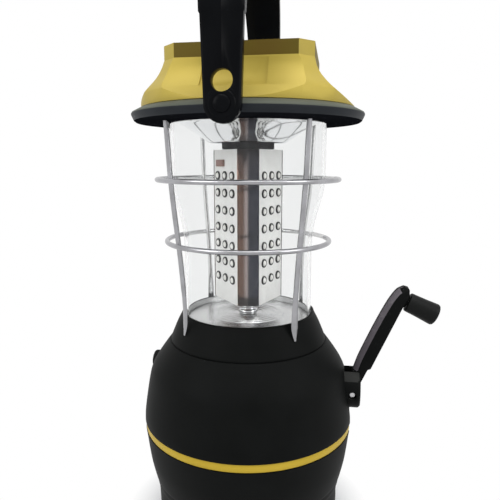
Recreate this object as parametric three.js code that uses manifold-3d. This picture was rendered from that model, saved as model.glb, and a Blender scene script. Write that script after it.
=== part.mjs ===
// A camping lantern with a hand crank dynamo, a solar cap and a swinging bail.
// Millimetres, +Z up. The origin is the centre of the base, on the surface it stands on.
// The front of the lantern faces -Y, the crank is on the +X side and the button on the -X side.

import * as THREE from 'three';
import { mergeVertices } from 'three/addons/utils/BufferGeometryUtils.js';
import Module from 'manifold-3d';

const wasm = await Module();
wasm.setup();

// Fits and facets
const gap = 0.3;
const runningGap = 0.5;
const overrun = 2;
const roundSides = 28;
const smallSides = 16;
const wireSides = 6;
const wireSteps = 10;

// Lower housing, from the foot up to the gold band
const bandRadius = 63;
const footInset = 8.3;
const lowerBottom = 3;
const lowerHeight = 60.5;
const bandHeight = 5;
const shellWall = 2.4;
const lipWall = 2.4;
const bandRecess = 0.8;
const bandDepth = 3.6;
// Shares of the height up to the band, and of the way from the foot radius to the band radius
const lowerProfileShares = [
  [0, 0], [0.16, 0.04], [0.36, 0.1], [0.42, 0.15], [0.44, 0.21], [0.5, 0.27], [0.52, 0.35], [0.68, 0.62],
  [0.82, 0.77], [0.94, 0.88], [1, 0.94],
];

// Upper housing, from the band up to the shoulder
const shoulderInset = 16;
const upperHeight = 47.5;
const shoulderHoleSpace = 3;
// Shares of the height from band to shoulder, and of the way from the band radius to the shoulder radius
const upperProfileShares = [
  [0, 0.01], [0.12, 0.03], [0.37, 0.14], [0.6, 0.27], [0.72, 0.42], [0.83, 0.63], [0.92, 0.82], [1, 1],
];

// Neck collar that holds the chimney
const collarStep = 1.5;
const collarFlare = 6.3;
const collarLip = 1.5;
const collarHeight = 16.7;
const collarSeatDepth = 9;
const collarFlangeReach = 2.4;
const collarFlangeHeight = 4;
// Shares of the collar's height, and of the way from its bottom radius to its top radius
const collarProfileShares = [[0, 0], [0.1, 0.04], [0.58, 0.52], [0.92, 0.94], [1, 1]];

// Clear chimney, and the height of the lamp from the collar to the rim
const lampHeight = 108.5;
const chimneyFlareOut = 7;
const chimneyWall = 2;
const chimneyNeckHeight = 59.7;
const chimneyFlareHeight = 26;
// Shares of the flare's height, and of the way from neck to top radius
const chimneyFlareShares = [[0, 0], [0.25, 0.12], [0.5, 0.45], [0.75, 0.85], [1, 1]];

// Cap rim and flared cap
const rimRadius = 65;
const rimUndercut = 2.4;
const rimShelf = 5.5;
const rimEdgeRise = 4.4;
const rimHeight = 7.5;
const rimFloor = 2;
const rimWall = 5;
const capHalfWidth = 38.5;
const capCornerRadius = 48.2;
const capFlareHeight = 22.1;
const capBandHeight = 7.1;
const capWall = 2.4;
const capSides = 40;
// Shares of the height from rim to band, of the way in to the flat sides, and of the way in to the corners
const capFlareShares = [
  [0, 0, 0], [0.055, 0.13, 0], [0.19, 0.36, 0.03], [0.35, 0.6, 0.14],
  [0.59, 0.83, 0.54], [0.8, 0.95, 0.79], [1, 1, 1],
];
const hollowWidth = 33;
const hollowRadius = 14.3;
const hollowOut = 14.4;
const hollowRise = 20.4;
const capRoomInset = 3.4;
const capRoomRise = 5.2;

// Solar window on top
const solarSize = 56;
const solarWindowThickness = 1.6;
const solarCellThickness = 1.4;
const solarCorner = 4;
const solarRim = 0.4;

// Bail handle
const bailPivotRise = 3.9;
const bailThickness = 5;
const bailGap = 0.6;
const bailEndRadius = 8.2;
const bailArmWidthLow = 17;
const bailArmWidthHigh = 23.6;
const bailStepRise = 38.6;
const bailStepDepth = 0.9;
const bailEdge = 1;
const bailCrease = 0.8;
const bailGripThickness = 9;
const bailHoleRadius = 5;
const bailHoleRise = 10;
const bailPinRadius = 3.4;
const bailPinHeadRadius = 4;
const bailPinHeadHeight = 1.4;
const bailArchSteps = 9;
// Shares of the end radius, for the levels of each arm's round end
const bailEndShares = [0.97, 0.8, 0.5, 0.2];

// Wire guard
const wireRadius = 1.4;
const guardWireCount = 4;
const guardRingSides = 32;
const guardLowerSpace = 8.6;
const guardKneeSpace = 1.4;
const guardRingOffset = 1.2;
const guardFootHeight = 9;
const guardStandOff = 0.4;
// Shares of the way out from the chimney to the rim, for the guard's top and its upper ring
const guardTopShare = 0.4176;
const guardUpperShare = 0.3516;
// Shares of the lamp's height at which the two rings lie
const upperRingShare = 0.71244;
const lowerRingShare = 0.3871;

// Lamp inside the chimney
const columnRadius = 20.8;
const columnTopSpace = 12.5;
const columnTurn = 9.5;
const postHeight = 8.4;
const panelCount = 3;
const panelApothem = 15;
const panelWidth = 28;
const boardThickness = 1.6;
const ledRows = 7;
const ledColumns = 3;
const ledRadius = 2.5;
const ledHeight = 1.5;
const ledColumnPitch = 8.6;
const ledTopMargin = 16.5;
const ledBottomMargin = 13.7;
const ledSides = 6;
const columnCapThickness = 2.6;
const columnCapRadius = 15;
const columnCornerSteps = 3;
const postRadius = 5.5;
const topReflectorInner = 22;
const topReflectorDrop = 10.6;
const reflectorThickness = 1;
const bottomReflectorRim = 5.7;
const bottomReflectorRise = 6.7;
const bottomReflectorGroove = 1.2;
const reflectorRingRadii = [20.5, 14, 8];

// Base
const baseThickness = 4;
const baseBottom = 1;
const footHeight = 2.5;
const footPadRadius = 5;
const footPadInset = 6;
const footCount = 4;
const doorEndSpace = 4;
const doorSideSpace = 1.5;
const doorFootSpace = 1.7;
const doorThickness = 2;
const doorLedge = 2.5;

// Crank
const hubRadius = 12;
const hubProud = 5.6;
const hubDepth = 13.8;
const hubBossWall = 2.6;
const hubBossDepth = 8.7;
const shaftRadius = 4;
const hingeInset = 5.6;
const hingeDrop = 1.1;
const hingePinRadius = 2;
const hubEdge = 1.2;
const armWidth = 9;
const armRootRadius = 4.5;
const armLean = 24.5;
const armBack = 6.6;
const armNeckFace = 2.1;
const armFace = 3.4;
const armTipFace = 2.6;
const armNotchRise = 3.9;
const armNotchLength = 1.2;
const armTipRise = 7.5;
const armChamfer = 3;
const armBossRadius = 3.8;
const armBossLength = 1.4;
// Shares of the arm's length from the notch to the tip, and of the depth of its bowed back
const armBackShares = [[0.1, 0.95], [0.45, 1], [0.7, 0.96], [0.84, 0.87], [0.94, 0.68], [1, 0.3]];
const knobInnerRadius = 5.6;
const knobOuterRadius = 6.3;
const knobLength = 17.5;
const knobEdge = 1.2;
const knobScrewRadius = 1.7;
const knobScrewHead = 3.2;
const knobScrewHeadDepth = 1.6;

// Place where the crank folds away
const stowSpare = 0.6;
const stowSideSpace = 4;
const stowRise = 7;
const knobPocketSpace = 1.9;
const knobPocketSpare = 1;
const knobPocketRise = 8.9;
const pocketWall = 2;

// Gear train and dynamo
const gearModule = 1.5;
const driveTeeth = 28;
const pinionTeeth = 10;
const idlerTeeth = 24;
const gearWidth = 4;
const gearLayerGap = 2;
const gearPlateSpace = 1.5;
const innerPlateSpace = 2;
const gearBoardSpace = 2;
const pressureAngle = 20;
const addendumShare = 0.8;
const dedendumShare = 1.2;
const backlash = 0.35;
const axleRadius = 2.2;
const plateThickness = 2;
const plateMargin = 9;
const pillarRadius = 3;
const pillarSpace = 1.5;
const upperPillarAngle = 34;
const lowerPillarAngle = 18;
const idlerAngle = 50;
const rotorAngle = 60;
const rotorRadius = 12;
const dynamoLength = 20;
const dynamoWall = 2;

// Batteries and electronics
const cellCount = 3;
const cellSpace = 1.6;
const holderWall = 1.6;
const boardEdgeSpace = 4.6;
// Shares of the base plate's radius
const cellRadiusShare = 0.1385;
const cellLengthShare = 0.9615;
const circuitThickness = 1.6;
// Share of the upper housing's height at which the button sits
const buttonHeightShare = 0.6;
const buttonRadius = 6;
const buttonFlange = 1.6;
const buttonFlangeThickness = 1.4;
const buttonProud = 1.6;
const buttonTravel = 1.2;
const buttonDepth = 6;
const buttonEdge = 0.8;
const switchSize = 9;
const switchLeg = 3;
const jackHeight = 16.5;
const jackCoverWidth = 15;
const jackCoverHeight = 12;
const jackCoverThickness = 2.2;
const jackSize = 9;
const jackDepth = 11;
const jackBoreRadius = 2.8;
const jackPinRadius = 0.9;

const between = (from, to, share) => from + (to - from) * share;

// Places worked out from the sizes above: the body
const bandBottom = lowerBottom + lowerHeight;
const bandTop = bandBottom + bandHeight;
const shoulderTop = bandTop + upperHeight;
const footRadius = bandRadius - footInset;
const shoulderRadius = bandRadius - shoulderInset;
const buttonHeight = between(bandTop, shoulderTop, buttonHeightShare);
const boardTop = shoulderTop - shellWall - gap;
const boardBottom = boardTop - circuitThickness;
const circuitRadius = shoulderRadius - shellWall - boardEdgeSpace;

// Places of the collar, the chimney and the lamp
const collarBottom = shoulderTop + gap;
const collarTop = collarBottom + collarHeight;
const collarSeat = collarTop - collarSeatDepth;
const collarBottomRadius = shoulderRadius - collarStep;
const collarTopRadius = collarBottomRadius - collarFlare;
const chimneyNeckRadius = collarTopRadius - collarLip - gap;
const collarFlangeRadius = chimneyNeckRadius - chimneyWall - collarFlangeReach;
const shoulderHoleRadius = collarFlangeRadius + shoulderHoleSpace;
const chimneyBottom = collarSeat + gap;
const chimneyNeckTop = chimneyBottom + chimneyNeckHeight;
const chimneyFlareTop = chimneyNeckTop + chimneyFlareHeight;
const chimneyTopRadius = chimneyNeckRadius + chimneyFlareOut;
const rimBottom = collarTop + lampHeight;
const dishTop = chimneyBottom + bottomReflectorRise;
const columnBottom = dishTop + gap + postHeight + gap;
const columnTop = rimBottom - columnTopSpace;
const ledRowPitch = (columnTop - columnBottom - ledTopMargin - ledBottomMargin) / (ledRows - 1);
const topReflectorRadius = chimneyTopRadius - chimneyWall - 2 * gap;

// Places of the rim, the cap and the bail
const rimBottomRadius = rimRadius - rimUndercut;
const rimTopRadius = rimRadius - rimShelf;
const rimWidest = rimBottom + rimEdgeRise;
const rimTop = rimBottom + rimHeight;
const capBottom = rimTop + gap;
const capBandBottom = capBottom + capFlareHeight;
const capTop = capBandBottom + capBandHeight;
const bailY = rimRadius + bailGap + bailThickness / 2;
const bailPivotHeight = rimBottom + bailPivotRise;
const bailStepHeight = bailPivotHeight + bailStepRise;
const bailTop = bailStepHeight + bailY;
const bailHoleHeight = bailPivotHeight + bailHoleRise;

// Places of the guard
const guardTopRadius = between(chimneyTopRadius, rimBottomRadius, guardTopShare);
const guardUpperRadius = between(chimneyTopRadius, rimBottomRadius, guardUpperShare);
const guardLowerRadius = chimneyNeckRadius + guardLowerSpace;
const guardUpperRing = between(collarTop, rimBottom, upperRingShare);
const guardLowerRing = between(collarTop, rimBottom, lowerRingShare);

// Places of the base and the batteries
const baseTop = baseBottom + baseThickness;
const plateRadius = footRadius - shellWall - gap;
const footPadCircle = plateRadius - footPadInset;
const cellRadius = plateRadius * cellRadiusShare;
const cellLength = plateRadius * cellLengthShare;
const cellSpacing = 2 * cellRadius + cellSpace;
const cellRowWidth = (cellCount - 1) * cellSpacing + 2 * (cellRadius + gap);
const doorLength = cellLength + 2 * doorEndSpace;
const doorWidth = cellRowWidth + 2 * doorSideSpace;
const doorCentreX = doorWidth / 2 + doorFootSpace + gap + footPadRadius - footPadCircle;

// Places of the gear train and the crank
const driveTip = (gearModule * driveTeeth) / 2 + gearModule * addendumShare;
const hubHeight = boardBottom - gearBoardSpace - driveTip;
const hubFace = bandRadius + hubProud;
const hubBase = hubFace - hubDepth;
const hubBossInner = hubBase - gap - hubBossDepth;
const outerPlateFace = hubBossInner - gap;
const driveGearFace = outerPlateFace - plateThickness - gearPlateSpace;
const innerPlateFace = driveGearFace - 2 * gearWidth - gearLayerGap - innerPlateSpace;
const hingeX = hubFace - hingeInset;
const hingeHeight = hubHeight - hingeDrop;
const stowFloor = hingeX - armRootRadius - stowSpare;
const knobInner = armTipFace + armBossLength + gap;
const stowWidth = armWidth + 2 * stowSideSpace;
const knobPocketRadius = knobOuterRadius + knobPocketSpace;
const knobStowHeight = baseTop + gap + pocketWall + knobPocketRadius + knobPocketRise;
const stowBottom = knobStowHeight + stowRise;
const armLength = hingeHeight - knobStowHeight;
const leanAngle = THREE.MathUtils.degToRad(armLean);

const plastic = { roughness: 0.55, metalness: 0 };
const metal = { roughness: 0.25, metalness: 1 };
const finishes = {
  black: { color: 0x1c1d1d, ...plastic },
  handle: { color: 0x121315, roughness: 0.35, metalness: 0 },
  gold: { color: 0xcbb158, roughness: 0.4, metalness: 0.6 },
  band: { color: 0xcdaa32, roughness: 0.35, metalness: 0.6 },
  rim: { color: 0x34383e, ...plastic },
  chrome: { color: 0xd4d6d8, ...metal },
  clear: { color: 0xe8eeee, roughness: 0.05, metalness: 0, transparent: true, opacity: 0.3 },
  board: { color: 0xefefea, roughness: 0.5, metalness: 0 },
  solar: { color: 0x14203c, roughness: 0.3, metalness: 0.2 },
  rubber: { color: 0x161616, roughness: 0.85, metalness: 0 },
  circuit: { color: 0x1f5a34, roughness: 0.5, metalness: 0 },
  steel: { color: 0x9a9da0, roughness: 0.3, metalness: 1 },
  nylon: { color: 0xe6e2d4, roughness: 0.5, metalness: 0 },
  cell: { color: 0x2f6f4a, roughness: 0.4, metalness: 0.2 },
};

const lantern = new THREE.Group();

// Adds a named piece, with a material of its own
function add(name, shape, finish) {
  const geometry = shape.isBufferGeometry ? shape : geometryOf(shape);
  const mesh = new THREE.Mesh(geometry, new THREE.MeshStandardMaterial(finishes[finish]));
  mesh.name = name;
  lantern.add(mesh);
  return mesh;
}

// A closed mesh as a solid that can be joined and cut, with its faces turned outwards
function solid(source) {
  const bare = new THREE.BufferGeometry();
  bare.setAttribute('position', source.getAttribute('position'));
  bare.setIndex(source.getIndex());
  const merged = mergeVertices(bare);
  const place = merged.getAttribute('position');
  const corners = [];
  let volume = 0;
  for (let i = 0; i < merged.index.count; i += 3) {
    const face = [0, 1, 2].map((k) => merged.index.getX(i + k));
    if (new Set(face).size < face.length) continue;
    const [a, b, c] = face.map((k) => new THREE.Vector3().fromBufferAttribute(place, k));
    volume += a.dot(b.cross(c));
    corners.push(...face);
  }
  if (volume < 0) corners.reverse();
  const vertProperties = Float32Array.from(place.array);
  const triVerts = Uint32Array.from(corners);
  return new wasm.Manifold(new wasm.Mesh({ numProp: 3, vertProperties, triVerts }));
}

// A solid's mesh as a geometry
function geometryOf(shape) {
  const mesh = shape.getMesh();
  const geometry = new THREE.BufferGeometry();
  geometry.setAttribute('position', new THREE.BufferAttribute(Float32Array.from(mesh.vertProperties), 3));
  geometry.setIndex(new THREE.BufferAttribute(Uint32Array.from(mesh.triVerts), 1));
  geometry.computeVertexNormals();
  return geometry;
}

const join = (first, ...others) => others.reduce((sum, next) => sum.add(next), first);
const cut = (first, ...others) => others.reduce((rest, next) => rest.subtract(next), first);

function box(x, y, z) {
  const geometry = new THREE.BoxGeometry(x[1] - x[0], y[1] - y[0], z[1] - z[0]);
  geometry.translate((x[0] + x[1]) / 2, (y[0] + y[1]) / 2, (z[0] + z[1]) / 2);
  return solid(geometry);
}

// A solid turned round the Z axis from [radius, height] points
function turned(points, sides = roundSides) {
  const outline = points.map(([radius, height]) => new THREE.Vector2(radius, height));
  const first = outline[0];
  const last = outline[outline.length - 1];
  if (first.x > 0 || last.x > 0) outline.push(first.clone());
  const geometry = new THREE.LatheGeometry(outline, sides);
  geometry.rotateX(Math.PI / 2);
  return solid(geometry);
}

// The same, round an axis along +X that passes through y and z, from [radius, x] points
function turnedX(points, y, z, sides = smallSides) {
  const geometry = geometryOf(turned(points, sides));
  geometry.rotateY(Math.PI / 2);
  geometry.translate(0, y, z);
  return solid(geometry);
}

const rod = (radius, bottom, top) => [[0, bottom], [radius, bottom], [radius, top], [0, top]];
const rodX = (radius, from, to, y, z, sides) => turnedX(rod(radius, from, to), y, z, sides);

function rodY(radius, from, to, x, z, sides = smallSides) {
  const geometry = geometryOf(turned(rod(radius, from, to), sides));
  geometry.rotateX(-Math.PI / 2);
  geometry.translate(x, 0, z);
  return solid(geometry);
}

function rodZ(radius, from, to, x, y, sides = smallSides) {
  const geometry = geometryOf(turned(rod(radius, from, to), sides));
  geometry.translate(x, y, 0);
  return solid(geometry);
}

// A flat outline in Y and Z, given thickness along X
function plateX(shape, from, to) {
  const geometry = new THREE.ExtrudeGeometry(shape, { depth: to - from, bevelEnabled: false });
  const along = new THREE.Matrix4().makeBasis(
    new THREE.Vector3(0, 1, 0),
    new THREE.Vector3(0, 0, 1),
    new THREE.Vector3(1, 0, 0),
  );
  geometry.applyMatrix4(along);
  geometry.translate(from, 0, 0);
  return solid(geometry);
}

// A skin over rings that hold the same number of points, closed by a flat face at each end
function loft(rings) {
  const count = rings[0].length;
  const points = rings.flat();
  const index = [];
  for (let i = 0; i < rings.length - 1; i += 1) {
    for (let k = 0; k < count; k += 1) {
      const a = i * count + k;
      const b = i * count + ((k + 1) % count);
      index.push(a, b, a + count, b, b + count, a + count);
    }
  }
  const ends = [rings[0], rings[rings.length - 1]];
  ends.forEach((ring, end) => {
    const middle = points.length;
    const start = end * (rings.length - 1) * count;
    const centre = ring.reduce((sum, point) => sum.add(point), new THREE.Vector3()).divideScalar(count);
    points.push(centre);
    for (let k = 0; k < count; k += 1) {
      const a = start + k;
      const b = start + ((k + 1) % count);
      index.push(middle, end ? a : b, end ? b : a);
    }
  });
  const geometry = new THREE.BufferGeometry().setFromPoints(points);
  geometry.setIndex(index);
  return solid(geometry);
}

// A wire along a curve, closed at both ends
function wire(curve, radius, steps) {
  const section = new THREE.Shape();
  for (let k = 0; k < wireSides; k += 1) {
    const turn = (k * Math.PI * 2) / wireSides;
    const place = [radius * Math.cos(turn), radius * Math.sin(turn)];
    if (k === 0) section.moveTo(...place);
    else section.lineTo(...place);
  }
  section.closePath();
  return solid(new THREE.ExtrudeGeometry(section, { steps, extrudePath: curve, bevelEnabled: false }));
}

// Outside of the two housing shells, as [radius, height] points
function lowerOutline(inset = 0) {
  return lowerProfileShares.map(([up, out]) => [
    between(footRadius, bandRadius, out) - inset,
    between(lowerBottom, bandBottom, up),
  ]);
}

function upperOutline(inset = 0) {
  return upperProfileShares.map(([up, into]) => [
    between(bandRadius, shoulderRadius, into) - inset,
    between(bandTop, shoulderTop, up),
  ]);
}

// Space that the folded crank lies in: a hub well, a channel below it and a round pocket for the knob
function stowSpace() {
  const well = rodX(hubRadius + runningGap, hubBase - gap, bandRadius + overrun, 0, hubHeight, 2 * smallSides);
  const channel = box(
    [stowFloor, bandRadius + overrun],
    [-stowWidth / 2, stowWidth / 2],
    [stowBottom, hubHeight],
  );
  const knobReach = hingeX - knobInner - knobLength;
  const pocket = rodX(knobPocketRadius, knobReach - knobPocketSpare, bandRadius + overrun, 0, knobStowHeight);
  return join(well, channel, pocket);
}

// Material behind the stow space, kept inside the housing's outline
function stowBacking(outside) {
  const half = stowWidth / 2 + pocketWall;
  const block = box([stowFloor - pocketWall, bandRadius], [-half, half], [lowerBottom, hubHeight]);
  const boss = rodX(hubRadius + hubBossWall, hubBossInner, bandRadius, 0, hubHeight);
  const knobReach = hingeX - knobInner - knobLength;
  const cup = rodX(
    knobPocketRadius + pocketWall,
    knobReach - knobPocketSpare - pocketWall,
    bandRadius,
    0,
    knobStowHeight,
  );
  return join(block, boss, cup).intersect(outside);
}

function lowerShell() {
  const lipRadius = bandRadius - bandRecess - bandDepth - gap;
  const lipTop = bandTop - gap;
  const outer = lowerOutline();
  const insideRadius = lipRadius - lipWall;
  const inner = lowerOutline(shellWall)
    .filter((point, k) => k % 3 === 0 || k === outer.length - 1)
    .map(([radius, height]) => [Math.min(radius, insideRadius), height]);
  const outside = turned([[0, lowerBottom], ...outer, [0, bandBottom]]);
  const shell = turned([
    ...outer,
    [lipRadius, bandBottom],
    [lipRadius, lipTop],
    [insideRadius, lipTop],
    ...inner.reverse(),
  ]);
  const jackPocket = box(
    [-jackCoverWidth / 2 - gap, jackCoverWidth / 2 + gap],
    [jackFace() - jackCoverThickness - gap, footRadius + overrun],
    [jackHeight - jackCoverHeight / 2 - gap, jackHeight + jackCoverHeight / 2 + gap],
  );
  const jackBacking = box(
    [-jackCoverWidth / 2 - pocketWall, jackCoverWidth / 2 + pocketWall],
    [jackFace() - jackCoverThickness - gap - pocketWall, footRadius],
    [jackHeight - jackCoverHeight / 2 - pocketWall, jackHeight + jackCoverHeight / 2 + pocketWall],
  ).intersect(outside);
  const jackHole = box(
    [-jackSize / 2 - gap, jackSize / 2 + gap],
    [0, footRadius],
    [jackHeight - jackSize / 2 - gap, jackHeight + jackSize / 2 + gap],
  );
  const low = box(
    [0, bandRadius + overrun],
    [-bandRadius, bandRadius],
    [lowerBottom, lipTop],
  );
  const backing = stowBacking(outside).intersect(low);
  return cut(join(shell, backing, jackBacking), stowSpace(), jackPocket, jackHole);
}

function upperShell() {
  const outer = upperOutline();
  const outside = turned([[0, bandTop], ...outer, [0, shoulderTop]]);
  const inner = upperOutline(shellWall).slice(0, -1).filter((point, k) => k % 2 === 0).reverse();
  const shell = turned([
    ...outer,
    [shoulderHoleRadius, shoulderTop],
    [shoulderHoleRadius, shoulderTop - shellWall],
    [shoulderRadius - shellWall, shoulderTop - shellWall],
    ...inner,
  ]);
  const buttonX = -radiusAt(outer, buttonHeight);
  const buttonHole = rodX(buttonRadius + gap, buttonX - overrun, buttonX + buttonDepth, 0, buttonHeight);
  const shaftHole = rodX(shaftRadius + gap, hubBossInner - overrun, hubFace, 0, hubHeight);
  return cut(join(shell, stowBacking(outside)), stowSpace(), shaftHole, buttonHole);
}

function collarOutline() {
  return collarProfileShares.map(([up, into]) => [
    between(collarBottomRadius, collarTopRadius, into),
    between(collarBottom, collarTop, up),
  ]);
}

// Radius at a height of an outline of [radius, height] points that go upwards
function radiusAt(outline, height) {
  const last = outline.length - 1;
  const above = outline.findIndex(([, level]) => level >= height);
  const upper = above < 0 ? last : Math.max(above, 1);
  const [lowRadius, low] = outline[upper - 1];
  const [highRadius, high] = outline[upper];
  return between(lowRadius, highRadius, (height - low) / (high - low));
}

const jackFace = () => lowerOutline()[1][0] - gap / 2;

function bandRing() {
  const outerRadius = bandRadius - bandRecess;
  const ring = turned([
    [outerRadius, bandBottom + gap],
    [outerRadius, bandTop - gap],
    [outerRadius - bandDepth, bandTop - gap],
    [outerRadius - bandDepth, bandBottom + gap],
  ]);
  return cut(ring, stowSpace());
}

function housing() {
  add('lower_shell', lowerShell(), 'black');
  add('upper_shell', upperShell(), 'black');
  add('stripe_ring', bandRing(), 'band');
  const bore = chimneyNeckRadius + gap;
  const flangeBottom = collarSeat - collarFlangeHeight;
  const collar = turned([
    ...collarOutline(),
    [bore, collarTop],
    [bore, collarSeat],
    [collarFlangeRadius, collarSeat],
    [collarFlangeRadius, flangeBottom],
    [shoulderHoleRadius, collarBottom],
  ]);
  add('neck_collar', collar, 'black');
}

function base() {
  let plate = turned([
    [0, baseBottom],
    [plateRadius, baseBottom],
    [plateRadius, baseTop],
    [0, baseTop],
  ]);
  const halfLength = doorLength / 2;
  const halfWidth = doorWidth / 2;
  const ledgeLength = halfLength - doorLedge;
  const ledgeWidth = halfWidth - doorLedge;
  const doorTop = baseBottom + doorThickness;
  const spanX = (half) => [doorCentreX - half, doorCentreX + half];
  plate = cut(
    plate,
    box(spanX(ledgeWidth), [-ledgeLength, ledgeLength], [baseBottom - overrun, baseTop + overrun]),
    box(spanX(halfWidth), [-halfLength, halfLength], [baseBottom - overrun, doorTop + gap]),
  );
  const clearWidth = halfWidth - gap;
  const clearLength = halfLength - gap;
  add('battery_door', box(spanX(clearWidth), [-clearLength, clearLength], [baseBottom, doorTop]), 'black');
  for (let k = 0; k < footCount; k += 1) {
    const turn = (k * Math.PI * 2) / footCount;
    const x = footPadCircle * Math.cos(turn);
    const y = footPadCircle * Math.sin(turn);
    plate = cut(plate, rodZ(footPadRadius + gap, 0, footHeight + gap, x, y));
    add(`rubber_foot_${k + 1}`, rodZ(footPadRadius, 0, footHeight, x, y), 'rubber');
  }
  add('base_cover', plate, 'black');
}

// Clear chimney, turned as one wall of even thickness
function chimney() {
  const flare = (inset) => chimneyFlareShares.map(([up, out]) => [
    between(chimneyNeckRadius, chimneyTopRadius, out) - inset,
    between(chimneyNeckTop, chimneyFlareTop, up),
  ]);
  const top = rimBottom - gap;
  add('lamp_chimney', turned([
    [chimneyNeckRadius, chimneyBottom],
    ...flare(0),
    [chimneyTopRadius, top],
    [chimneyTopRadius - chimneyWall, top],
    ...flare(chimneyWall).reverse(),
    [chimneyNeckRadius - chimneyWall, chimneyBottom],
  ]), 'clear');
}

// Outline of the LED column: three rounded corners, with a flat step between them for each board
function columnShape() {
  const shape = new THREE.Shape();
  const halfPanel = Math.atan2(panelWidth / 2, panelApothem);
  const seat = panelApothem - boardThickness - gap;
  const sector = (Math.PI * 2) / panelCount;
  for (let k = 0; k < panelCount; k += 1) {
    const middle = k * sector - Math.PI / 2;
    for (let step = 0; step <= columnCornerSteps; step += 1) {
      const edge = sector / 2 - halfPanel;
      const turn = between(middle - edge, middle + edge, step / columnCornerSteps);
      const place = [columnRadius * Math.cos(turn), columnRadius * Math.sin(turn)];
      if (k === 0 && step === 0) shape.moveTo(...place);
      else shape.lineTo(...place);
    }
    const facing = middle + sector / 2;
    const normal = [Math.cos(facing), Math.sin(facing)];
    for (const side of [-1, 1]) {
      const along = (side * panelWidth) / 2;
      shape.lineTo(seat * normal[0] - along * normal[1], seat * normal[1] + along * normal[0]);
    }
  }
  shape.closePath();
  return shape;
}

// One board with its rows of LEDs, built facing +X and then turned to its side of the column, in degrees
function ledBoard(facing) {
  const back = panelApothem - boardThickness;
  const halfWidth = panelWidth / 2 - gap;
  let board = box([back, panelApothem], [-halfWidth, halfWidth], [columnBottom, columnTop]);
  for (let row = 0; row < ledRows; row += 1) {
    for (let column = 0; column < ledColumns; column += 1) {
      const y = (column - (ledColumns - 1) / 2) * ledColumnPitch;
      const z = columnTop - ledTopMargin - row * ledRowPitch;
      const lens = turnedX([
        [0, back],
        [ledRadius, back],
        [ledRadius, panelApothem + ledHeight],
        [0, panelApothem + ledHeight],
      ], y, z, ledSides);
      board = board.add(lens);
    }
  }
  const geometry = geometryOf(board);
  geometry.rotateZ(THREE.MathUtils.degToRad(facing));
  return geometry;
}

function lamp() {
  const column = new THREE.ExtrudeGeometry(columnShape(), { depth: columnTop - columnBottom, bevelEnabled: false });
  column.translate(0, 0, columnBottom);
  column.rotateZ(THREE.MathUtils.degToRad(columnTurn));
  add('led_column', solid(column), 'chrome');
  const sector = 360 / panelCount;
  for (let k = 0; k < panelCount; k += 1) {
    const facing = columnTurn - 90 + (k + 1 / 2) * sector;
    add(`led_board_${k + 1}`, ledBoard(facing), 'board');
  }
  const capBottom = columnTop + gap;
  add('column_cap', rodZ(columnCapRadius, capBottom, capBottom + columnCapThickness, 0, 0, roundSides), 'rim');
  const dishRadius = chimneyNeckRadius - chimneyWall - gap;
  const grooves = [];
  reflectorRingRadii.forEach((radius, k) => {
    const next = reflectorRingRadii[k + 1];
    grooves.push([radius, dishTop]);
    if (next) grooves.push([(radius + next) / 2, dishTop - bottomReflectorGroove]);
  });
  const dish = turned([
    [0, chimneyBottom],
    [dishRadius, chimneyBottom],
    [dishRadius, chimneyBottom + bottomReflectorRim],
    ...grooves,
    [0, dishTop],
  ]);
  add('bottom_reflector', dish, 'chrome');
  add('center_post', rodZ(postRadius, dishTop + gap, columnBottom - gap, 0, 0), 'chrome');
  const shadeTop = rimBottom - gap;
  add('top_reflector', turned([
    [topReflectorRadius, shadeTop],
    [topReflectorRadius, shadeTop - reflectorThickness],
    [topReflectorInner, shadeTop - topReflectorDrop],
    [topReflectorInner, shadeTop - topReflectorDrop + reflectorThickness],
    [topReflectorRadius - topReflectorDrop, shadeTop],
  ]), 'chrome');
}

// One level of the cap: a square with cut corners that swells into a circle
function capRing(height, side, corner) {
  const ring = [];
  for (let k = 0; k < capSides; k += 1) {
    const turn = (k * Math.PI * 2) / capSides;
    const toSide = Math.max(Math.abs(Math.cos(turn)), Math.abs(Math.sin(turn)));
    const toCorner = (Math.abs(Math.cos(turn)) + Math.abs(Math.sin(turn))) / Math.SQRT2;
    const radius = Math.min(side / toSide, corner / toCorner, rimTopRadius);
    ring.push(new THREE.Vector3(radius * Math.cos(turn), radius * Math.sin(turn), height));
  }
  return ring;
}

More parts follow.
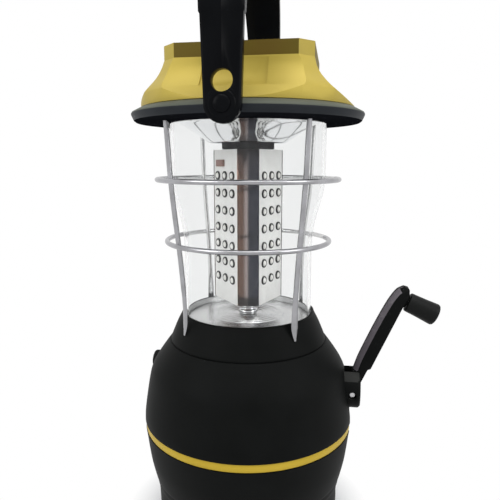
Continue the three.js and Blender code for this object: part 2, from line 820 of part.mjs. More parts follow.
function cap() {
  const rings = capFlareShares.map(([up, side, corner]) => capRing(
    between(capBottom, capBandBottom, up),
    between(rimTopRadius, capHalfWidth, side),
    between(rimTopRadius, capCornerRadius, corner),
  ));
  rings.push(capRing(capTop, capHalfWidth, capCornerRadius));
  const cellHalf = solarSize / 2;
  const windowTop = capTop - solarRim;
  const windowBottom = windowTop - solarWindowThickness;
  const cellTop = windowBottom - gap;
  const cellBottom = cellTop - solarCellThickness;
  const roomTop = cellBottom - gap - capWall;
  const roomRadius = capHalfWidth - capRoomInset;
  const room = turned([
    [0, capBottom - overrun],
    [rimTopRadius - capWall, capBottom - overrun],
    [rimTopRadius - capWall, capBottom],
    [roomRadius, capBottom + capRoomRise],
    [roomRadius, roomTop],
    [0, roomTop],
  ], smallSides);
  const hollow = (side) => {
    const half = hollowWidth / 2;
    const height = capBottom + hollowRise;
    return rodX(hollowRadius, -half, half, side * (capHalfWidth + hollowOut), height, roundSides);
  };
  const well = box([-cellHalf, cellHalf], [-cellHalf, cellHalf], [cellBottom - gap, capTop + overrun]);
  add('cap_shell', cut(loft(rings), room, well, hollow(-1), hollow(1)), 'gold');
  const inside = cellHalf - gap;
  add('solar_window', roundedPlate(inside, solarCorner, windowBottom, windowTop), 'clear');
  add('solar_panel', roundedPlate(inside, solarCorner, cellBottom, cellTop), 'solar');

  const floorTop = rimBottom + rimFloor;
  const rim = turned([
    [0, rimBottom],
    [rimBottomRadius, rimBottom],
    [rimRadius, rimWidest],
    [rimTopRadius, rimTop],
    [rimTopRadius - rimWall, rimTop],
    [rimTopRadius - rimWall, floorTop],
    [0, floorTop],
  ]);
  let drilled = rim;
  for (const side of [-1, 1]) {
    drilled = cut(drilled, bailPin(side, bailPinRadius + gap, bailPinHeadRadius));
  }
  add('cap_rim', drilled, 'rim');
}

function roundedPlate(half, corner, bottom, top) {
  const shape = new THREE.Shape();
  const flat = half - corner;
  shape.moveTo(-flat, -half);
  shape.lineTo(flat, -half);
  shape.quadraticCurveTo(half, -half, half, -flat);
  shape.lineTo(half, flat);
  shape.quadraticCurveTo(half, half, flat, half);
  shape.lineTo(-flat, half);
  shape.quadraticCurveTo(-half, half, -half, flat);
  shape.lineTo(-half, -flat);
  shape.quadraticCurveTo(-half, -half, -flat, -half);
  const geometry = new THREE.ExtrudeGeometry(shape, { depth: top - bottom, bevelEnabled: false, curveSegments: 4 });
  geometry.translate(0, 0, bottom);
  return solid(geometry);
}

// Headed pin on one side of the rim, pointing outwards
function bailPin(side, radius, headRadius) {
  const armFace = rimRadius + bailGap + bailThickness;
  const inner = rimTopRadius - rimWall / 2;
  const headEnd = armFace + gap + bailPinHeadHeight;
  const pin = turned([
    [0, inner],
    [radius, inner],
    [radius, armFace + gap],
    [headRadius, armFace + gap],
    [headRadius, headEnd],
    [0, headEnd],
  ], smallSides);
  const geometry = geometryOf(pin);
  geometry.rotateX((side * -Math.PI) / 2);
  geometry.translate(0, 0, bailPivotHeight);
  return solid(geometry);
}

// One section of the bail: a flat strap with eased outer edges and a crease down its middle
function bailRing(centre, outward, halfWidth, thickness) {
  const half = thickness / 2;
  const crease = Math.min(bailCrease, halfWidth / 2);
  const edge = Math.min(bailEdge, halfWidth / 2);
  const section = [
    [-halfWidth, -half], [halfWidth, -half], [halfWidth, half - edge], [halfWidth - edge, half],
    [0, half - crease], [edge - halfWidth, half], [-halfWidth, half - edge],
  ];
  return section.map(([x, out]) => new THREE.Vector3(x, 0, 0).add(centre).addScaledVector(outward, out));
}

function bail() {
  const widthAt = (height) => between(
    bailArmWidthLow,
    bailArmWidthHigh,
    (height - bailPivotHeight) / (bailTop - bailPivotHeight),
  ) / 2;
  const levels = bailEndShares.map((share) => [
    bailPivotHeight - bailEndRadius * share,
    (bailArmWidthLow / 2) * Math.sqrt(1 - share * share),
    0,
  ]);
  levels.push([bailHoleHeight, widthAt(bailHoleHeight), 0]);
  levels.push([bailStepHeight - bailStepDepth, widthAt(bailStepHeight), 0]);
  levels.push([bailStepHeight, widthAt(bailStepHeight) + bailStepDepth / 2, bailStepDepth]);
  const half = levels.map(([height, width, extra]) => bailRing(
    new THREE.Vector3(0, -bailY, height),
    new THREE.Vector3(0, -1, 0),
    width,
    bailThickness + extra,
  ));
  for (let step = 1; step <= bailArchSteps; step += 1) {
    const share = step / bailArchSteps;
    const turn = (share * Math.PI) / 2;
    const outward = new THREE.Vector3(0, -Math.cos(turn), Math.sin(turn));
    const centre = new THREE.Vector3(0, 0, bailStepHeight).addScaledVector(outward, bailY);
    const thickness = between(bailThickness + bailStepDepth, bailGripThickness, share);
    half.push(bailRing(centre, outward, widthAt(centre.z), thickness));
  }
  const flip = (ring) => ring.map((point) => new THREE.Vector3(point.x, -point.y, point.z));
  const mirrored = half.slice(0, -1).map(flip).reverse();
  const strap = loft([...half, ...mirrored]);
  const reach = bailY + bailThickness + overrun;
  const handle = cut(
    strap,
    rodY(bailHoleRadius, -reach, reach, 0, bailHoleHeight),
    rodY(bailPinRadius + gap, -reach, reach, 0, bailPivotHeight),
  );
  add('handle', handle, 'handle');
  add('handle_pivot_front', bailPin(-1, bailPinRadius, bailPinHeadRadius), 'handle');
  add('handle_pivot_back', bailPin(1, bailPinRadius, bailPinHeadRadius), 'handle');
}

// Line of one upright wire: in from the rim, past both rings, and down the outside of the collar
function guardCurve() {
  const foot = collarBottom + guardFootHeight;
  const places = [
    [radiusAt(collarOutline(), foot) + wireRadius + guardStandOff, foot],
    [collarTopRadius + wireRadius + guardKneeSpace, collarTop + guardFootHeight],
    [guardLowerRadius, guardLowerRing],
    [guardUpperRadius, guardUpperRing],
    [guardTopRadius, rimBottom - gap - wireRadius],
    [guardTopRadius, rimBottom - gap],
  ];
  return new THREE.CatmullRomCurve3(places.map(([radius, height]) => new THREE.Vector3(radius, 0, height)));
}

function ringOfWire(radius, height, thickness) {
  const section = [];
  for (let k = 0; k < wireSides; k += 1) {
    const turn = (k * Math.PI * 2) / wireSides;
    section.push([radius + thickness * Math.cos(turn), height + thickness * Math.sin(turn)]);
  }
  return turned(section, guardRingSides);
}

function guard() {
  const levels = [
    ['guard_ring_upper', guardUpperRadius + guardRingOffset, guardUpperRing],
    ['guard_ring_lower', guardLowerRadius + guardRingOffset, guardLowerRing],
  ];
  const notches = levels.map(([, radius, height]) => ringOfWire(radius, height, wireRadius + gap));
  for (const [name, radius, height] of levels) {
    add(name, ringOfWire(radius, height, wireRadius), 'chrome');
  }
  const upright = cut(wire(guardCurve(), wireRadius, wireSteps), ...notches);
  for (let k = 0; k < guardWireCount; k += 1) {
    const geometry = geometryOf(upright);
    geometry.rotateZ(((k + 1 / 2) * Math.PI * 2) / guardWireCount);
    add(`guard_wire_${k + 1}`, geometry, 'chrome');
  }
}

// Outline of a spur gear with involute flanks, and a tooth centred on the angle given
function gearShape(teeth, phase, boreRadius) {
  const pitchRadius = (gearModule * teeth) / 2;
  const pressure = THREE.MathUtils.degToRad(pressureAngle);
  const baseRadius = pitchRadius * Math.cos(pressure);
  const rootRadius = pitchRadius - gearModule * dedendumShare;
  const tipRadius = pitchRadius + gearModule * addendumShare;
  const involute = (angle) => Math.tan(angle) - angle;
  const halfTooth = (radius) => {
    const angle = Math.acos(Math.min(1, baseRadius / radius));
    return Math.PI / (2 * teeth) + involute(pressure) - involute(angle) - backlash / (2 * pitchRadius);
  };
  const flankRadii = [rootRadius, pitchRadius, tipRadius];
  const shape = new THREE.Shape();
  for (let k = 0; k < teeth; k += 1) {
    const middle = phase + (k * Math.PI * 2) / teeth;
    const left = flankRadii.map((radius) => [radius, middle - halfTooth(radius)]);
    const right = flankRadii.map((radius) => [radius, middle + halfTooth(radius)]).reverse();
    for (const [radius, turn] of [...left, ...right]) {
      const place = [radius * Math.cos(turn), radius * Math.sin(turn)];
      if (shape.curves.length === 0 && shape.currentPoint.lengthSq() === 0) shape.moveTo(...place);
      else shape.lineTo(...place);
    }
  }
  shape.closePath();
  if (boreRadius > 0) shape.holes.push(circlePath(boreRadius));
  return shape;
}

function circlePath(radius) {
  const path = new THREE.Path();
  for (let k = 0; k < smallSides; k += 1) {
    const turn = (k * Math.PI * 2) / smallSides;
    const place = [radius * Math.cos(turn), radius * Math.sin(turn)];
    if (k === 0) path.moveTo(...place);
    else path.lineTo(...place);
  }
  path.closePath();
  return path;
}

function gearX(teeth, phase, boreRadius, from, to, y, z) {
  const geometry = geometryOf(plateX(gearShape(teeth, phase, boreRadius), from, to));
  geometry.translate(0, y, z);
  return solid(geometry);
}

// Places of the three parallel axles, in Y and Z
function axles() {
  const first = THREE.MathUtils.degToRad(idlerAngle);
  const second = THREE.MathUtils.degToRad(rotorAngle);
  const firstDistance = (gearModule * (driveTeeth + pinionTeeth)) / 2;
  const secondDistance = (gearModule * (idlerTeeth + pinionTeeth)) / 2;
  const idler = [-firstDistance * Math.sin(first), hubHeight - firstDistance * Math.cos(first)];
  const rotor = [
    idler[0] + secondDistance * Math.sin(second),
    idler[1] - secondDistance * Math.cos(second),
  ];
  return { idler, rotor };
}

const bearing = (from, to, place, radius) => rodX(radius, from, to, place[0], place[1]);

function gearTrain() {
  const { idler, rotor } = axles();
  const hub = [0, hubHeight];
  const toIdler = Math.atan2(idler[1] - hub[1], idler[0] - hub[0]);
  const toRotor = Math.atan2(rotor[1] - idler[1], rotor[0] - idler[0]);
  const firstLayer = [driveGearFace - gearWidth, driveGearFace];
  const secondTop = firstLayer[0] - gearLayerGap;
  const secondLayer = [secondTop - gearWidth, secondTop];
  const halfPinion = Math.PI / pinionTeeth;
  add('drive_gear', gearX(driveTeeth, toIdler, shaftRadius + gap, ...firstLayer, ...hub), 'nylon');

  const outerPlate = [outerPlateFace - plateThickness, outerPlateFace];
  const innerPlate = [innerPlateFace - plateThickness, innerPlateFace];
  const compound = join(
    gearX(pinionTeeth, toIdler + Math.PI + halfPinion, 0, secondLayer[0], firstLayer[1], ...idler),
    gearX(idlerTeeth, toRotor, 0, ...secondLayer, ...idler),
    bearing(innerPlate[0], outerPlate[1], idler, axleRadius),
  );
  add('idler_gear', compound, 'nylon');

  const dynamoFace = innerPlate[0] - gap;
  const dynamoEnd = dynamoFace - dynamoLength;
  const rotorEnd = dynamoEnd + dynamoWall + runningGap;
  const spinner = join(
    gearX(pinionTeeth, toRotor + Math.PI + halfPinion, 0, ...secondLayer, ...rotor),
    bearing(rotorEnd, outerPlate[1], rotor, axleRadius),
    bearing(rotorEnd, dynamoFace - runningGap, rotor, rotorRadius),
  );
  add('rotor_gear', spinner, 'steel');
  const inside = rotorRadius + runningGap;
  const cup = turnedX([
    [0, dynamoEnd],
    [inside + dynamoWall, dynamoEnd],
    [inside + dynamoWall, dynamoFace],
    [inside, dynamoFace],
    [inside, dynamoEnd + dynamoWall],
    [0, dynamoEnd + dynamoWall],
  ], ...rotor, 2 * smallSides);
  add('dynamo_housing', cup, 'steel');

  const tipReach = (teeth) => (gearModule * teeth) / 2 + gearModule + pillarRadius + pillarSpace;
  const below = (place, angle, distance) => {
    const turn = THREE.MathUtils.degToRad(angle);
    return [place[0] + distance * Math.sin(turn), place[1] - distance * Math.cos(turn)];
  };
  const upperPillar = below(hub, upperPillarAngle, tipReach(driveTeeth));
  const lowerPillar = below(idler, lowerPillarAngle, tipReach(idlerTeeth));
  const pillarPlaces = [upperPillar, lowerPillar];
  const pillarMargin = pillarRadius + plateThickness;
  const outline = new THREE.Shape([
    [hub[0] + plateMargin, hub[1] + plateMargin],
    [hub[0] - plateMargin, hub[1] + plateMargin],
    [idler[0] - plateMargin, idler[1] + plateMargin],
    [idler[0] - plateMargin, idler[1] - plateMargin],
    [lowerPillar[0] - pillarMargin, lowerPillar[1] - pillarMargin],
    [lowerPillar[0] + pillarMargin, lowerPillar[1] - pillarMargin],
    [rotor[0] + plateMargin, rotor[1] - plateMargin],
    [upperPillar[0] + pillarMargin, upperPillar[1] - pillarMargin],
    [upperPillar[0] + pillarMargin, upperPillar[1] + pillarMargin],
  ].map(([y, z]) => new THREE.Vector2(y, z)));
  const pillars = pillarPlaces.map((place) => bearing(innerPlate[1] - gap, outerPlate[0] + gap, place, pillarRadius));
  const frame = cut(
    join(plateX(outline, ...outerPlate), plateX(outline, ...innerPlate)),
    ...[hub, idler, rotor].map((place, k) => bearing(
      innerPlate[0] - overrun,
      outerPlate[1] + overrun,
      place,
      (k === 0 ? shaftRadius : axleRadius) + gap,
    )),
  );
  add('gearbox_frame', join(frame, ...pillars), 'rim');
}

// Crank: the hub turns with the shaft, the arm folds on the hub's pin, and the knob spins on its screw
function crank() {
  const slotHalf = armWidth / 2 + gap;
  const slotFloor = hingeX - armRootRadius - runningGap;
  const shaftEnd = innerPlateFace - plateThickness;
  const slot = box(
    [slotFloor, hubFace + overrun],
    [-slotHalf, slotHalf],
    [hubHeight - hubRadius - overrun, hubHeight + hubRadius + overrun],
  );
  const pinHole = rodY(hingePinRadius + gap, -hubRadius, hubRadius, hingeX, hingeHeight);
  const body = turnedX([
    [0, shaftEnd],
    [shaftRadius, shaftEnd],
    [shaftRadius, hubBase],
    [hubRadius, hubBase],
    [hubRadius, hubFace - hubEdge],
    [hubRadius - hubEdge, hubFace],
    [0, hubFace],
  ], 0, hubHeight, 2 * smallSides);
  add('crank_hub', cut(body, slot, pinHole), 'black');
  const pinHalf = Math.sqrt(hubRadius * hubRadius - hingeDrop * hingeDrop) - hingePinRadius;
  add('crank_hinge_pin', rodY(hingePinRadius, -pinHalf, pinHalf, hingeX, hingeHeight), 'steel');

  const tipHeight = armLength + armTipRise;
  const notchTop = hubRadius + armNotchRise;
  const side = new THREE.Shape();
  side.moveTo(armRootRadius, 0);
  side.absarc(0, 0, armRootRadius, 0, -Math.PI, true);
  side.lineTo(-armRootRadius, hubRadius);
  for (const [along, deep] of armBackShares) {
    side.lineTo(-armBack * deep, between(notchTop, tipHeight, along));
  }
  side.lineTo(armTipFace / 2, tipHeight);
  side.lineTo(armTipFace, tipHeight - armTipFace);
  side.lineTo(armFace, notchTop + armNotchLength);
  side.lineTo(armNeckFace, notchTop);
  side.lineTo(armNeckFace, armRootRadius);
  side.closePath();
  const armShape = new THREE.ExtrudeGeometry(side, { depth: armWidth, bevelEnabled: false, curveSegments: 6 });
  armShape.rotateX(Math.PI / 2);
  armShape.translate(0, armWidth / 2, 0);
  const chamfers = [-1, 1].map((face) => {
    const slant = new THREE.BoxGeometry(armWidth, armWidth, 2 * tipHeight);
    slant.rotateZ(Math.PI / 4);
    const out = (armWidth * Math.SQRT1_2 - armChamfer) / 2;
    slant.translate(-armBack - out, face * (armWidth / 2 + out), hubRadius + armNotchRise + tipHeight);
    return solid(slant);
  });
  const arm = cut(
    solid(armShape).add(rodX(armBossRadius, 0, armTipFace + armBossLength, 0, armLength)),
    rodY(hingePinRadius + gap, -armWidth, armWidth, 0, 0),
    rodX(knobScrewRadius + gap, -armTipFace - gap, armWidth, 0, armLength),
    ...chamfers,
  );
  const knobEnd = knobInner + knobLength;
  const headSeat = knobEnd - knobScrewHeadDepth - gap;
  const knob = cut(
    turnedX([
      [0, knobInner],
      [knobInnerRadius, knobInner],
      [knobOuterRadius, knobEnd - knobEdge],
      [knobOuterRadius - knobEdge, knobEnd],
      [0, knobEnd],
    ], 0, armLength),
    rodX(knobScrewRadius + gap, 0, knobEnd + overrun, 0, armLength),
    rodX(knobScrewHead + gap, headSeat, knobEnd + overrun, 0, armLength),
  );
  const screw = turnedX([
    [0, -armTipFace],
    [knobScrewRadius, -armTipFace],
    [knobScrewRadius, headSeat + gap],
    [knobScrewHead, headSeat + gap],
    [knobScrewHead, knobEnd],
    [0, knobEnd],
  ], 0, armLength);
  const folding = new THREE.Group();
  folding.position.set(hingeX, 0, hingeHeight);
  folding.rotation.y = leanAngle;
  folding.add(add('crank_arm', arm, 'black'));
  folding.add(add('crank_knob', knob, 'black'));
  folding.add(add('knob_screw', screw, 'steel'));
  lantern.add(folding);
}

// Battery tray on the base, with its cells side by side
function batteries() {
  const floor = baseTop + gap;
  const cellZ = floor + holderWall + gap + cellRadius;
  const halfLength = cellLength / 2 + gap;
  const reach = cellRowWidth / 2;
  const spanX = (extra) => [doorCentreX - reach - extra, doorCentreX + reach + extra];
  const outerHalf = halfLength + holderWall;
  const tray = cut(
    box(spanX(holderWall), [-outerHalf, outerHalf], [floor, cellZ]),
    box(spanX(0), [-halfLength, halfLength], [floor + holderWall, cellZ + overrun]),
  );
  add('battery_holder', tray, 'rim');
  for (let k = 0; k < cellCount; k += 1) {
    const x = doorCentreX + (k - (cellCount - 1) / 2) * cellSpacing;
    add(`battery_${k + 1}`, rodY(cellRadius, -cellLength / 2, cellLength / 2, x, cellZ), 'cell');
  }
}

function electronics() {
  add('circuit_board', rodZ(circuitRadius, boardBottom, boardTop, 0, 0, roundSides), 'circuit');

  const outer = upperOutline();
  const face = -radiusAt(outer, buttonHeight) - buttonProud;
  const flangeFace = shellWall + gap - radiusAt(outer, buttonHeight + buttonRadius + buttonFlange);
  const flangeEnd = flangeFace + buttonFlangeThickness;
  const button = turnedX([
    [0, face],
    [buttonRadius - buttonEdge, face],
    [buttonRadius, face + buttonEdge],
    [buttonRadius, flangeFace],
    [buttonRadius + buttonFlange, flangeFace],
    [buttonRadius + buttonFlange, flangeEnd],
    [0, flangeEnd],
  ], 0, buttonHeight);
  add('power_button', button, 'rubber');
  const switchFace = flangeEnd + buttonTravel + gap;
  const half = switchSize / 2;
  const legTop = boardBottom - gap;
  const switchEnd = half - circuitRadius;
  add('switch_module', join(
    box([switchFace, switchEnd], [-half, half], [buttonHeight - half, buttonHeight + half]),
    box([switchEnd - switchLeg, switchEnd], [-half, half], [buttonHeight, legTop]),
  ), 'rim');

  const pocketFloor = jackFace() - jackCoverThickness - gap;
  const jackHalf = jackSize / 2;
  const jackFront = pocketFloor - gap;
  const jack = cut(
    box([-jackHalf, jackHalf], [jackFront - jackDepth, jackFront], [jackHeight - jackHalf, jackHeight + jackHalf]),
    rodY(jackBoreRadius, jackFront - jackDepth + holderWall, jackFront + overrun, 0, jackHeight),
  );
  const pin = rodY(jackPinRadius, jackFront - jackDepth, jackFront - holderWall, 0, jackHeight);
  add('dc_jack', jack.add(pin), 'rim');
  const halfWidth = jackCoverWidth / 2;
  const halfHeight = jackCoverHeight / 2;
  add('dc_jack_cover', box(
    [-halfWidth, halfWidth],
    [jackFace() - jackCoverThickness, jackFace()],
    [jackHeight - halfHeight, jackHeight + halfHeight],
  ), 'rubber');
}

housing();
base();
chimney();
lamp();
cap();
bail();
guard();
gearTrain();
crank();
batteries();
electronics();

export default lantern;
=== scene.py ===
# %% [markdown]
# # A camping lantern with a crank, built around its CAD frame
# The engineering model gives every solid part of the lantern: where it is, how big it is and how it moves.
# It is made of flat facets, though, and has no finish. This lesson loads that model as a fixed frame,
# and then builds a smooth, finished piece over each solid that can be seen.
# Loading the frame first means that nothing has to be fitted by eye: a piece goes where the frame says.

# %% Load the frame
import math

import bpy
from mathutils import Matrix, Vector


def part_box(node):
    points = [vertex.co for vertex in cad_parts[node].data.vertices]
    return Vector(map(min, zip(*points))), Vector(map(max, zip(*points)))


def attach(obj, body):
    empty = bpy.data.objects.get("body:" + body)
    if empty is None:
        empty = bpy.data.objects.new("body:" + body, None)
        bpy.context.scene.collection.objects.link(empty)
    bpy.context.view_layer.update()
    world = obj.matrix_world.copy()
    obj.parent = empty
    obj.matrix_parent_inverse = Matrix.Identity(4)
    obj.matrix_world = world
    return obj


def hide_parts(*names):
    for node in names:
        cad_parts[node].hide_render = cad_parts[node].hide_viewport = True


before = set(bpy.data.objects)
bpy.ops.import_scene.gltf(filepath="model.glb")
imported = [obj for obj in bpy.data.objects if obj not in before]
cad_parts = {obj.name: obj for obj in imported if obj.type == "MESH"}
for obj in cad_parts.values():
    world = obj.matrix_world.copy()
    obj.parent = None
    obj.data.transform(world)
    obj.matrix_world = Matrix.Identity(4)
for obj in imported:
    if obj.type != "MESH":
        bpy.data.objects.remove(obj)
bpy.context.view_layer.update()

# %% [markdown]
# ## The camera
# A picture of the same thing from a slightly different place never quite matches, so the camera comes first.
# It could be aimed by hand, but here it is worked out: how far the eye stands from the lantern's axis,
# how high it is, how far round to the side, and how much it looks down. The lens follows from how fast
# things grow smaller with distance, which the wide rims of the lantern show well.

# %% Camera
MM = 0.001
eye_distance = 307 * MM
eye_height = 220 * MM
eye_round = math.radians(9.5)
eye_down = math.radians(9.5)
aim_right = math.radians(0.2)
lens_length = 37.8

bpy.ops.object.select_all(action="DESELECT")
bpy.ops.object.camera_add(
    location=(eye_distance * math.sin(eye_round), -eye_distance * math.cos(eye_round), eye_height),
    rotation=(math.pi / 2 - eye_down, 0, eye_round - aim_right),
)
camera = bpy.context.object
camera.name = "camera"
camera.data.lens = lens_length
camera.data.sensor_width = 36
camera.data.clip_start = 0.01
bpy.context.scene.camera = camera
print("camera at", [round(value, 3) for value in camera.location])

# %% [markdown]
# ## Small tools
# Every piece below is made with the same few moves of the hand, so each move is written once.
# Turned parts start as a line of points that is drawn with extrude and spun round an axis, as on a lathe.
# Flat parts start as an outline that is filled and extruded. Cutting one solid with another is a Boolean
# modifier, and edges are eased with a Bevel modifier, because real moulded edges are never razor sharp.
# Sizes are written in millimetres, and the tools turn them into metres.

# %% Select and edit
ALONG_X, ALONG_Y, UPWARDS = (1, 0, 0), (0, 1, 0), (0, 0, 1)


def deselect():
    """Nothing stays selected, so that an operator acts on the new piece alone."""
    active = bpy.context.object
    if active and active.mode != "OBJECT":
        bpy.ops.object.mode_set(mode="OBJECT")
    bpy.ops.object.select_all(action="DESELECT")


def hold(piece):
    """Selects one piece and makes it the active one."""
    deselect()
    piece.select_set(True)
    bpy.context.view_layer.objects.active = piece


def select_mesh():
    """Selects all of the mesh that is being edited."""
    bpy.ops.mesh.select_all(action="SELECT")


def draw_line(name, points):
    """Draws a line of edges by extruding one corner from point to point. The points are in millimetres."""
    deselect()
    bpy.ops.mesh.primitive_plane_add(size=MM)
    piece = bpy.context.object
    piece.name = name
    bpy.ops.object.mode_set(mode="EDIT")
    bpy.ops.mesh.merge(type="CENTER")
    bpy.ops.transform.translate(value=Vector(points[0]) * MM)
    for here, there in zip(points, points[1:]):
        step = (Vector(there) - Vector(here)) * MM
        bpy.ops.mesh.extrude_region_move(TRANSFORM_OT_translate={"value": step})
    return piece


def close_mesh(piece):
    """Merges corners that lie on each other and turns every face outwards."""
    select_mesh()
    bpy.ops.mesh.remove_doubles(threshold=0.002 * MM)
    select_mesh()
    bpy.ops.mesh.normals_make_consistent(inside=False)
    bpy.ops.object.mode_set(mode="OBJECT")
    return piece


def lathe(name, points, start=(0, 0, 0), along=UPWARDS, outward=ALONG_X, steps=96):
    """Spins a line of (radius, distance along the axis) points round an axis."""
    start, along, outward = Vector(start), Vector(along).normalized(), Vector(outward).normalized()
    piece = draw_line(name, [start + outward * radius + along * rise for radius, rise in points])
    select_mesh()
    bpy.ops.mesh.spin(steps=steps, angle=2 * math.pi, center=start * MM, axis=along)
    return close_mesh(piece)


def slab(name, outline, push):
    """Fills a closed outline and extrudes it along push."""
    piece = draw_line(name, outline)
    select_mesh()
    bpy.ops.mesh.edge_face_add()
    bpy.ops.mesh.extrude_region_move(TRANSFORM_OT_translate={"value": Vector(push) * MM})
    return close_mesh(piece)


def block(name, low, high):
    """A straight block between two corners, as a filled and extruded outline."""
    (x0, y0, z0), (x1, y1, z1) = low, high
    return slab(name, [(x0, y0, z0), (x1, y0, z0), (x1, y1, z0), (x0, y1, z0)], (0, 0, z1 - z0))


# %% Combine and finish
def combine(piece, other, how):
    """Joins, cuts or keeps the common part of two closed solids, and uses up the second one."""
    hold(piece)
    modifier = piece.modifiers.new("combine", "BOOLEAN")
    modifier.operation = how
    modifier.solver = "EXACT"
    modifier.object = other
    bpy.ops.object.modifier_apply(modifier=modifier.name)
    bpy.data.objects.remove(other)
    bpy.ops.object.mode_set(mode="EDIT")
    select_mesh()
    bpy.ops.mesh.dissolve_degenerate(threshold=0.01 * MM)
    select_mesh()
    bpy.ops.mesh.remove_doubles(threshold=0.01 * MM)
    bpy.ops.object.mode_set(mode="OBJECT")
    return piece


def cut(piece, *others):
    """Cuts each of the others out of a piece."""
    for other in others:
        combine(piece, other, "DIFFERENCE")
    return piece


def join(piece, *others):
    """Joins each of the others to a piece."""
    for other in others:
        combine(piece, other, "UNION")


def ease(piece, width, segments=2, angle=35):
    """Rounds the sharp edges with a Bevel modifier, unless width is 0, and shades the rest smoothly."""
    hold(piece)
    if width:
        modifier = piece.modifiers.new("ease", "BEVEL")
        modifier.width = width * MM
        modifier.segments = segments
        modifier.limit_method = "ANGLE"
        modifier.angle_limit = math.radians(angle)
        modifier.miter_outer = "MITER_ARC"
        bpy.ops.object.modifier_apply(modifier=modifier.name)
    bpy.ops.object.shade_smooth_by_angle(angle=math.radians(angle))


def gather(first, *others):
    """Several separate solids as one piece."""
    deselect()
    for piece in (first, *others):
        piece.select_set(True)
    bpy.context.view_layer.objects.active = first
    bpy.ops.object.join()
    return first


def copy_of(piece, name):
    """A copy with a mesh of its own."""
    hold(piece)
    bpy.ops.object.duplicate(linked=False)
    bpy.context.object.name = name
    return bpy.context.object


def curved(points, steps=4):
    """More points along a smooth line through the given ones."""
    line = [Vector(point) for point in points]
    ends = [2 * line[0] - line[1], *line, 2 * line[-1] - line[-2]]
    found = []
    for a, b, c, d in zip(ends, ends[1:], ends[2:], ends[3:]):
        for k in range(steps):
            t = k / steps
            point = 2 * b + (c - a) * t
            point += (2 * a - 5 * b + 4 * c - d) * t**2
            point += (3 * b - a - 3 * c + d) * t**3
            found.append(point / 2)
    found.append(line[-1])
    return [tuple(point) for point in found]


def by_shares(table, start, end, low, high):
    """(radius, height) points from a table of (share of the height, share of the way from start to end)."""
    return [(start + (end - start) * out, low + (high - low) * up) for up, out in table]


def bar(radius, start, end):
    """The line of a plain round bar between two places along its axis."""
    return [(0, start), (radius, start), (radius, end), (0, end)]


def around(radius, turn):
    """The x and y of a point on a circle."""
    return radius * math.cos(turn), radius * math.sin(turn)


def coat(piece, name):
    """Gives a whole piece one of the finishes that are made further down."""
    piece.data.materials.clear()
    piece.data.materials.append(finishes[name])


def place(piece, body, slot, coating, *nodes):
    """Gives a piece its finish and the body it moves with, and hides the CAD nodes that it stands for."""
    if coating:
        coat(piece, coating)
    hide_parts(*nodes)
    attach(piece, body)
    print(piece.name, len(piece.data.polygons), "faces")


def tint(piece, name, chosen):
    """Gives some faces a finish of their own, chosen by their centre in millimetres and their normal."""
    piece.data.materials.append(finishes[name])
    for face in piece.data.polygons:
        if chosen(face.center / MM, face.normal):
            face.material_index = len(piece.data.materials) - 1


def settle(node, **values):
    """Sets inputs of a shader node by their names."""
    for name, value in values.items():
        node.inputs[name.replace("_", " ")].default_value = value


# %% [markdown]
# ## Floor, lamps and background
# The lantern stands on a plain pale floor in front of a white background. A white picture could be had by
# turning the lamps up, but then every pale part of the lantern would burn out. So the world is white only
# where the camera, a reflection or a clear wall looks at it, and its light on the lantern stays soft.
# The floor is an ordinary surface near the lantern, where it shows the shadow, and fades to white
# further out.

# %% World
world = bpy.data.worlds.new("studio")
bpy.context.scene.world = world
world.use_nodes = True
nodes, links = world.node_tree.nodes, world.node_tree.links
soft_light = nodes["Background"]
settle(soft_light, Color=(0.93, 0.96, 1, 1), Strength=0.42)
white = nodes.new("ShaderNodeBackground")
settle(white, Color=(1, 1, 1, 1), Strength=1)


def sees_background(nodes, links):
    """A value of 1 for rays that come from the camera, a reflection or a clear wall."""
    path = nodes.new("ShaderNodeLightPath")
    total = path.outputs["Is Camera Ray"]
    for ray in ("Is Glossy Ray", "Is Transmission Ray"):
        either = nodes.new("ShaderNodeMath")
        either.operation = "MAXIMUM"
        links.new(total, either.inputs[0])
        links.new(path.outputs[ray], either.inputs[1])
        total = either.outputs["Value"]
    return total


choose = nodes.new("ShaderNodeMixShader")
links.new(sees_background(nodes, links), choose.inputs["Fac"])
links.new(soft_light.outputs["Background"], choose.inputs[1])
links.new(white.outputs["Background"], choose.inputs[2])
links.new(choose.outputs["Shader"], nodes["World Output"].inputs["Surface"])
bpy.context.scene.view_settings.view_transform = "Standard"
print("world light", soft_light.inputs["Strength"].default_value)

# %% Floor
floor_radius, fade_start, fade_end = 4, 0.052, 0.078
deselect()
bpy.ops.mesh.primitive_circle_add(vertices=64, radius=floor_radius, fill_type="NGON", location=(0, 0, 0))
floor = bpy.context.object
floor.name = "floor"
paint = bpy.data.materials.new("pale_floor")
paint.use_nodes = True
nodes, links = paint.node_tree.nodes, paint.node_tree.links
surface = nodes["Principled BSDF"]
settle(surface, Base_Color=(0.86, 0.86, 0.86, 1), Roughness=0.9, Specular_IOR_Level=0)
where = nodes.new("ShaderNodeTexCoord")
length = nodes.new("ShaderNodeVectorMath")
length.operation = "LENGTH"
fade = nodes.new("ShaderNodeMapRange")
settle(fade, From_Min=fade_start, From_Max=fade_end)
glow = nodes.new("ShaderNodeEmission")
both = nodes.new("ShaderNodeMath")
both.operation = "MULTIPLY"
blend = nodes.new("ShaderNodeMixShader")
links.new(where.outputs["Object"], length.inputs[0])
links.new(length.outputs["Value"], fade.inputs["Value"])
links.new(fade.outputs["Result"], both.inputs[0])
links.new(sees_background(nodes, links), both.inputs[1])
links.new(both.outputs["Value"], blend.inputs["Fac"])
links.new(surface.outputs["BSDF"], blend.inputs[1])
links.new(glow.outputs["Emission"], blend.inputs[2])
links.new(blend.outputs["Shader"], nodes["Material Output"].inputs["Surface"])
floor.data.materials.append(paint)
print("floor", [round(side, 2) for side in floor.dimensions])

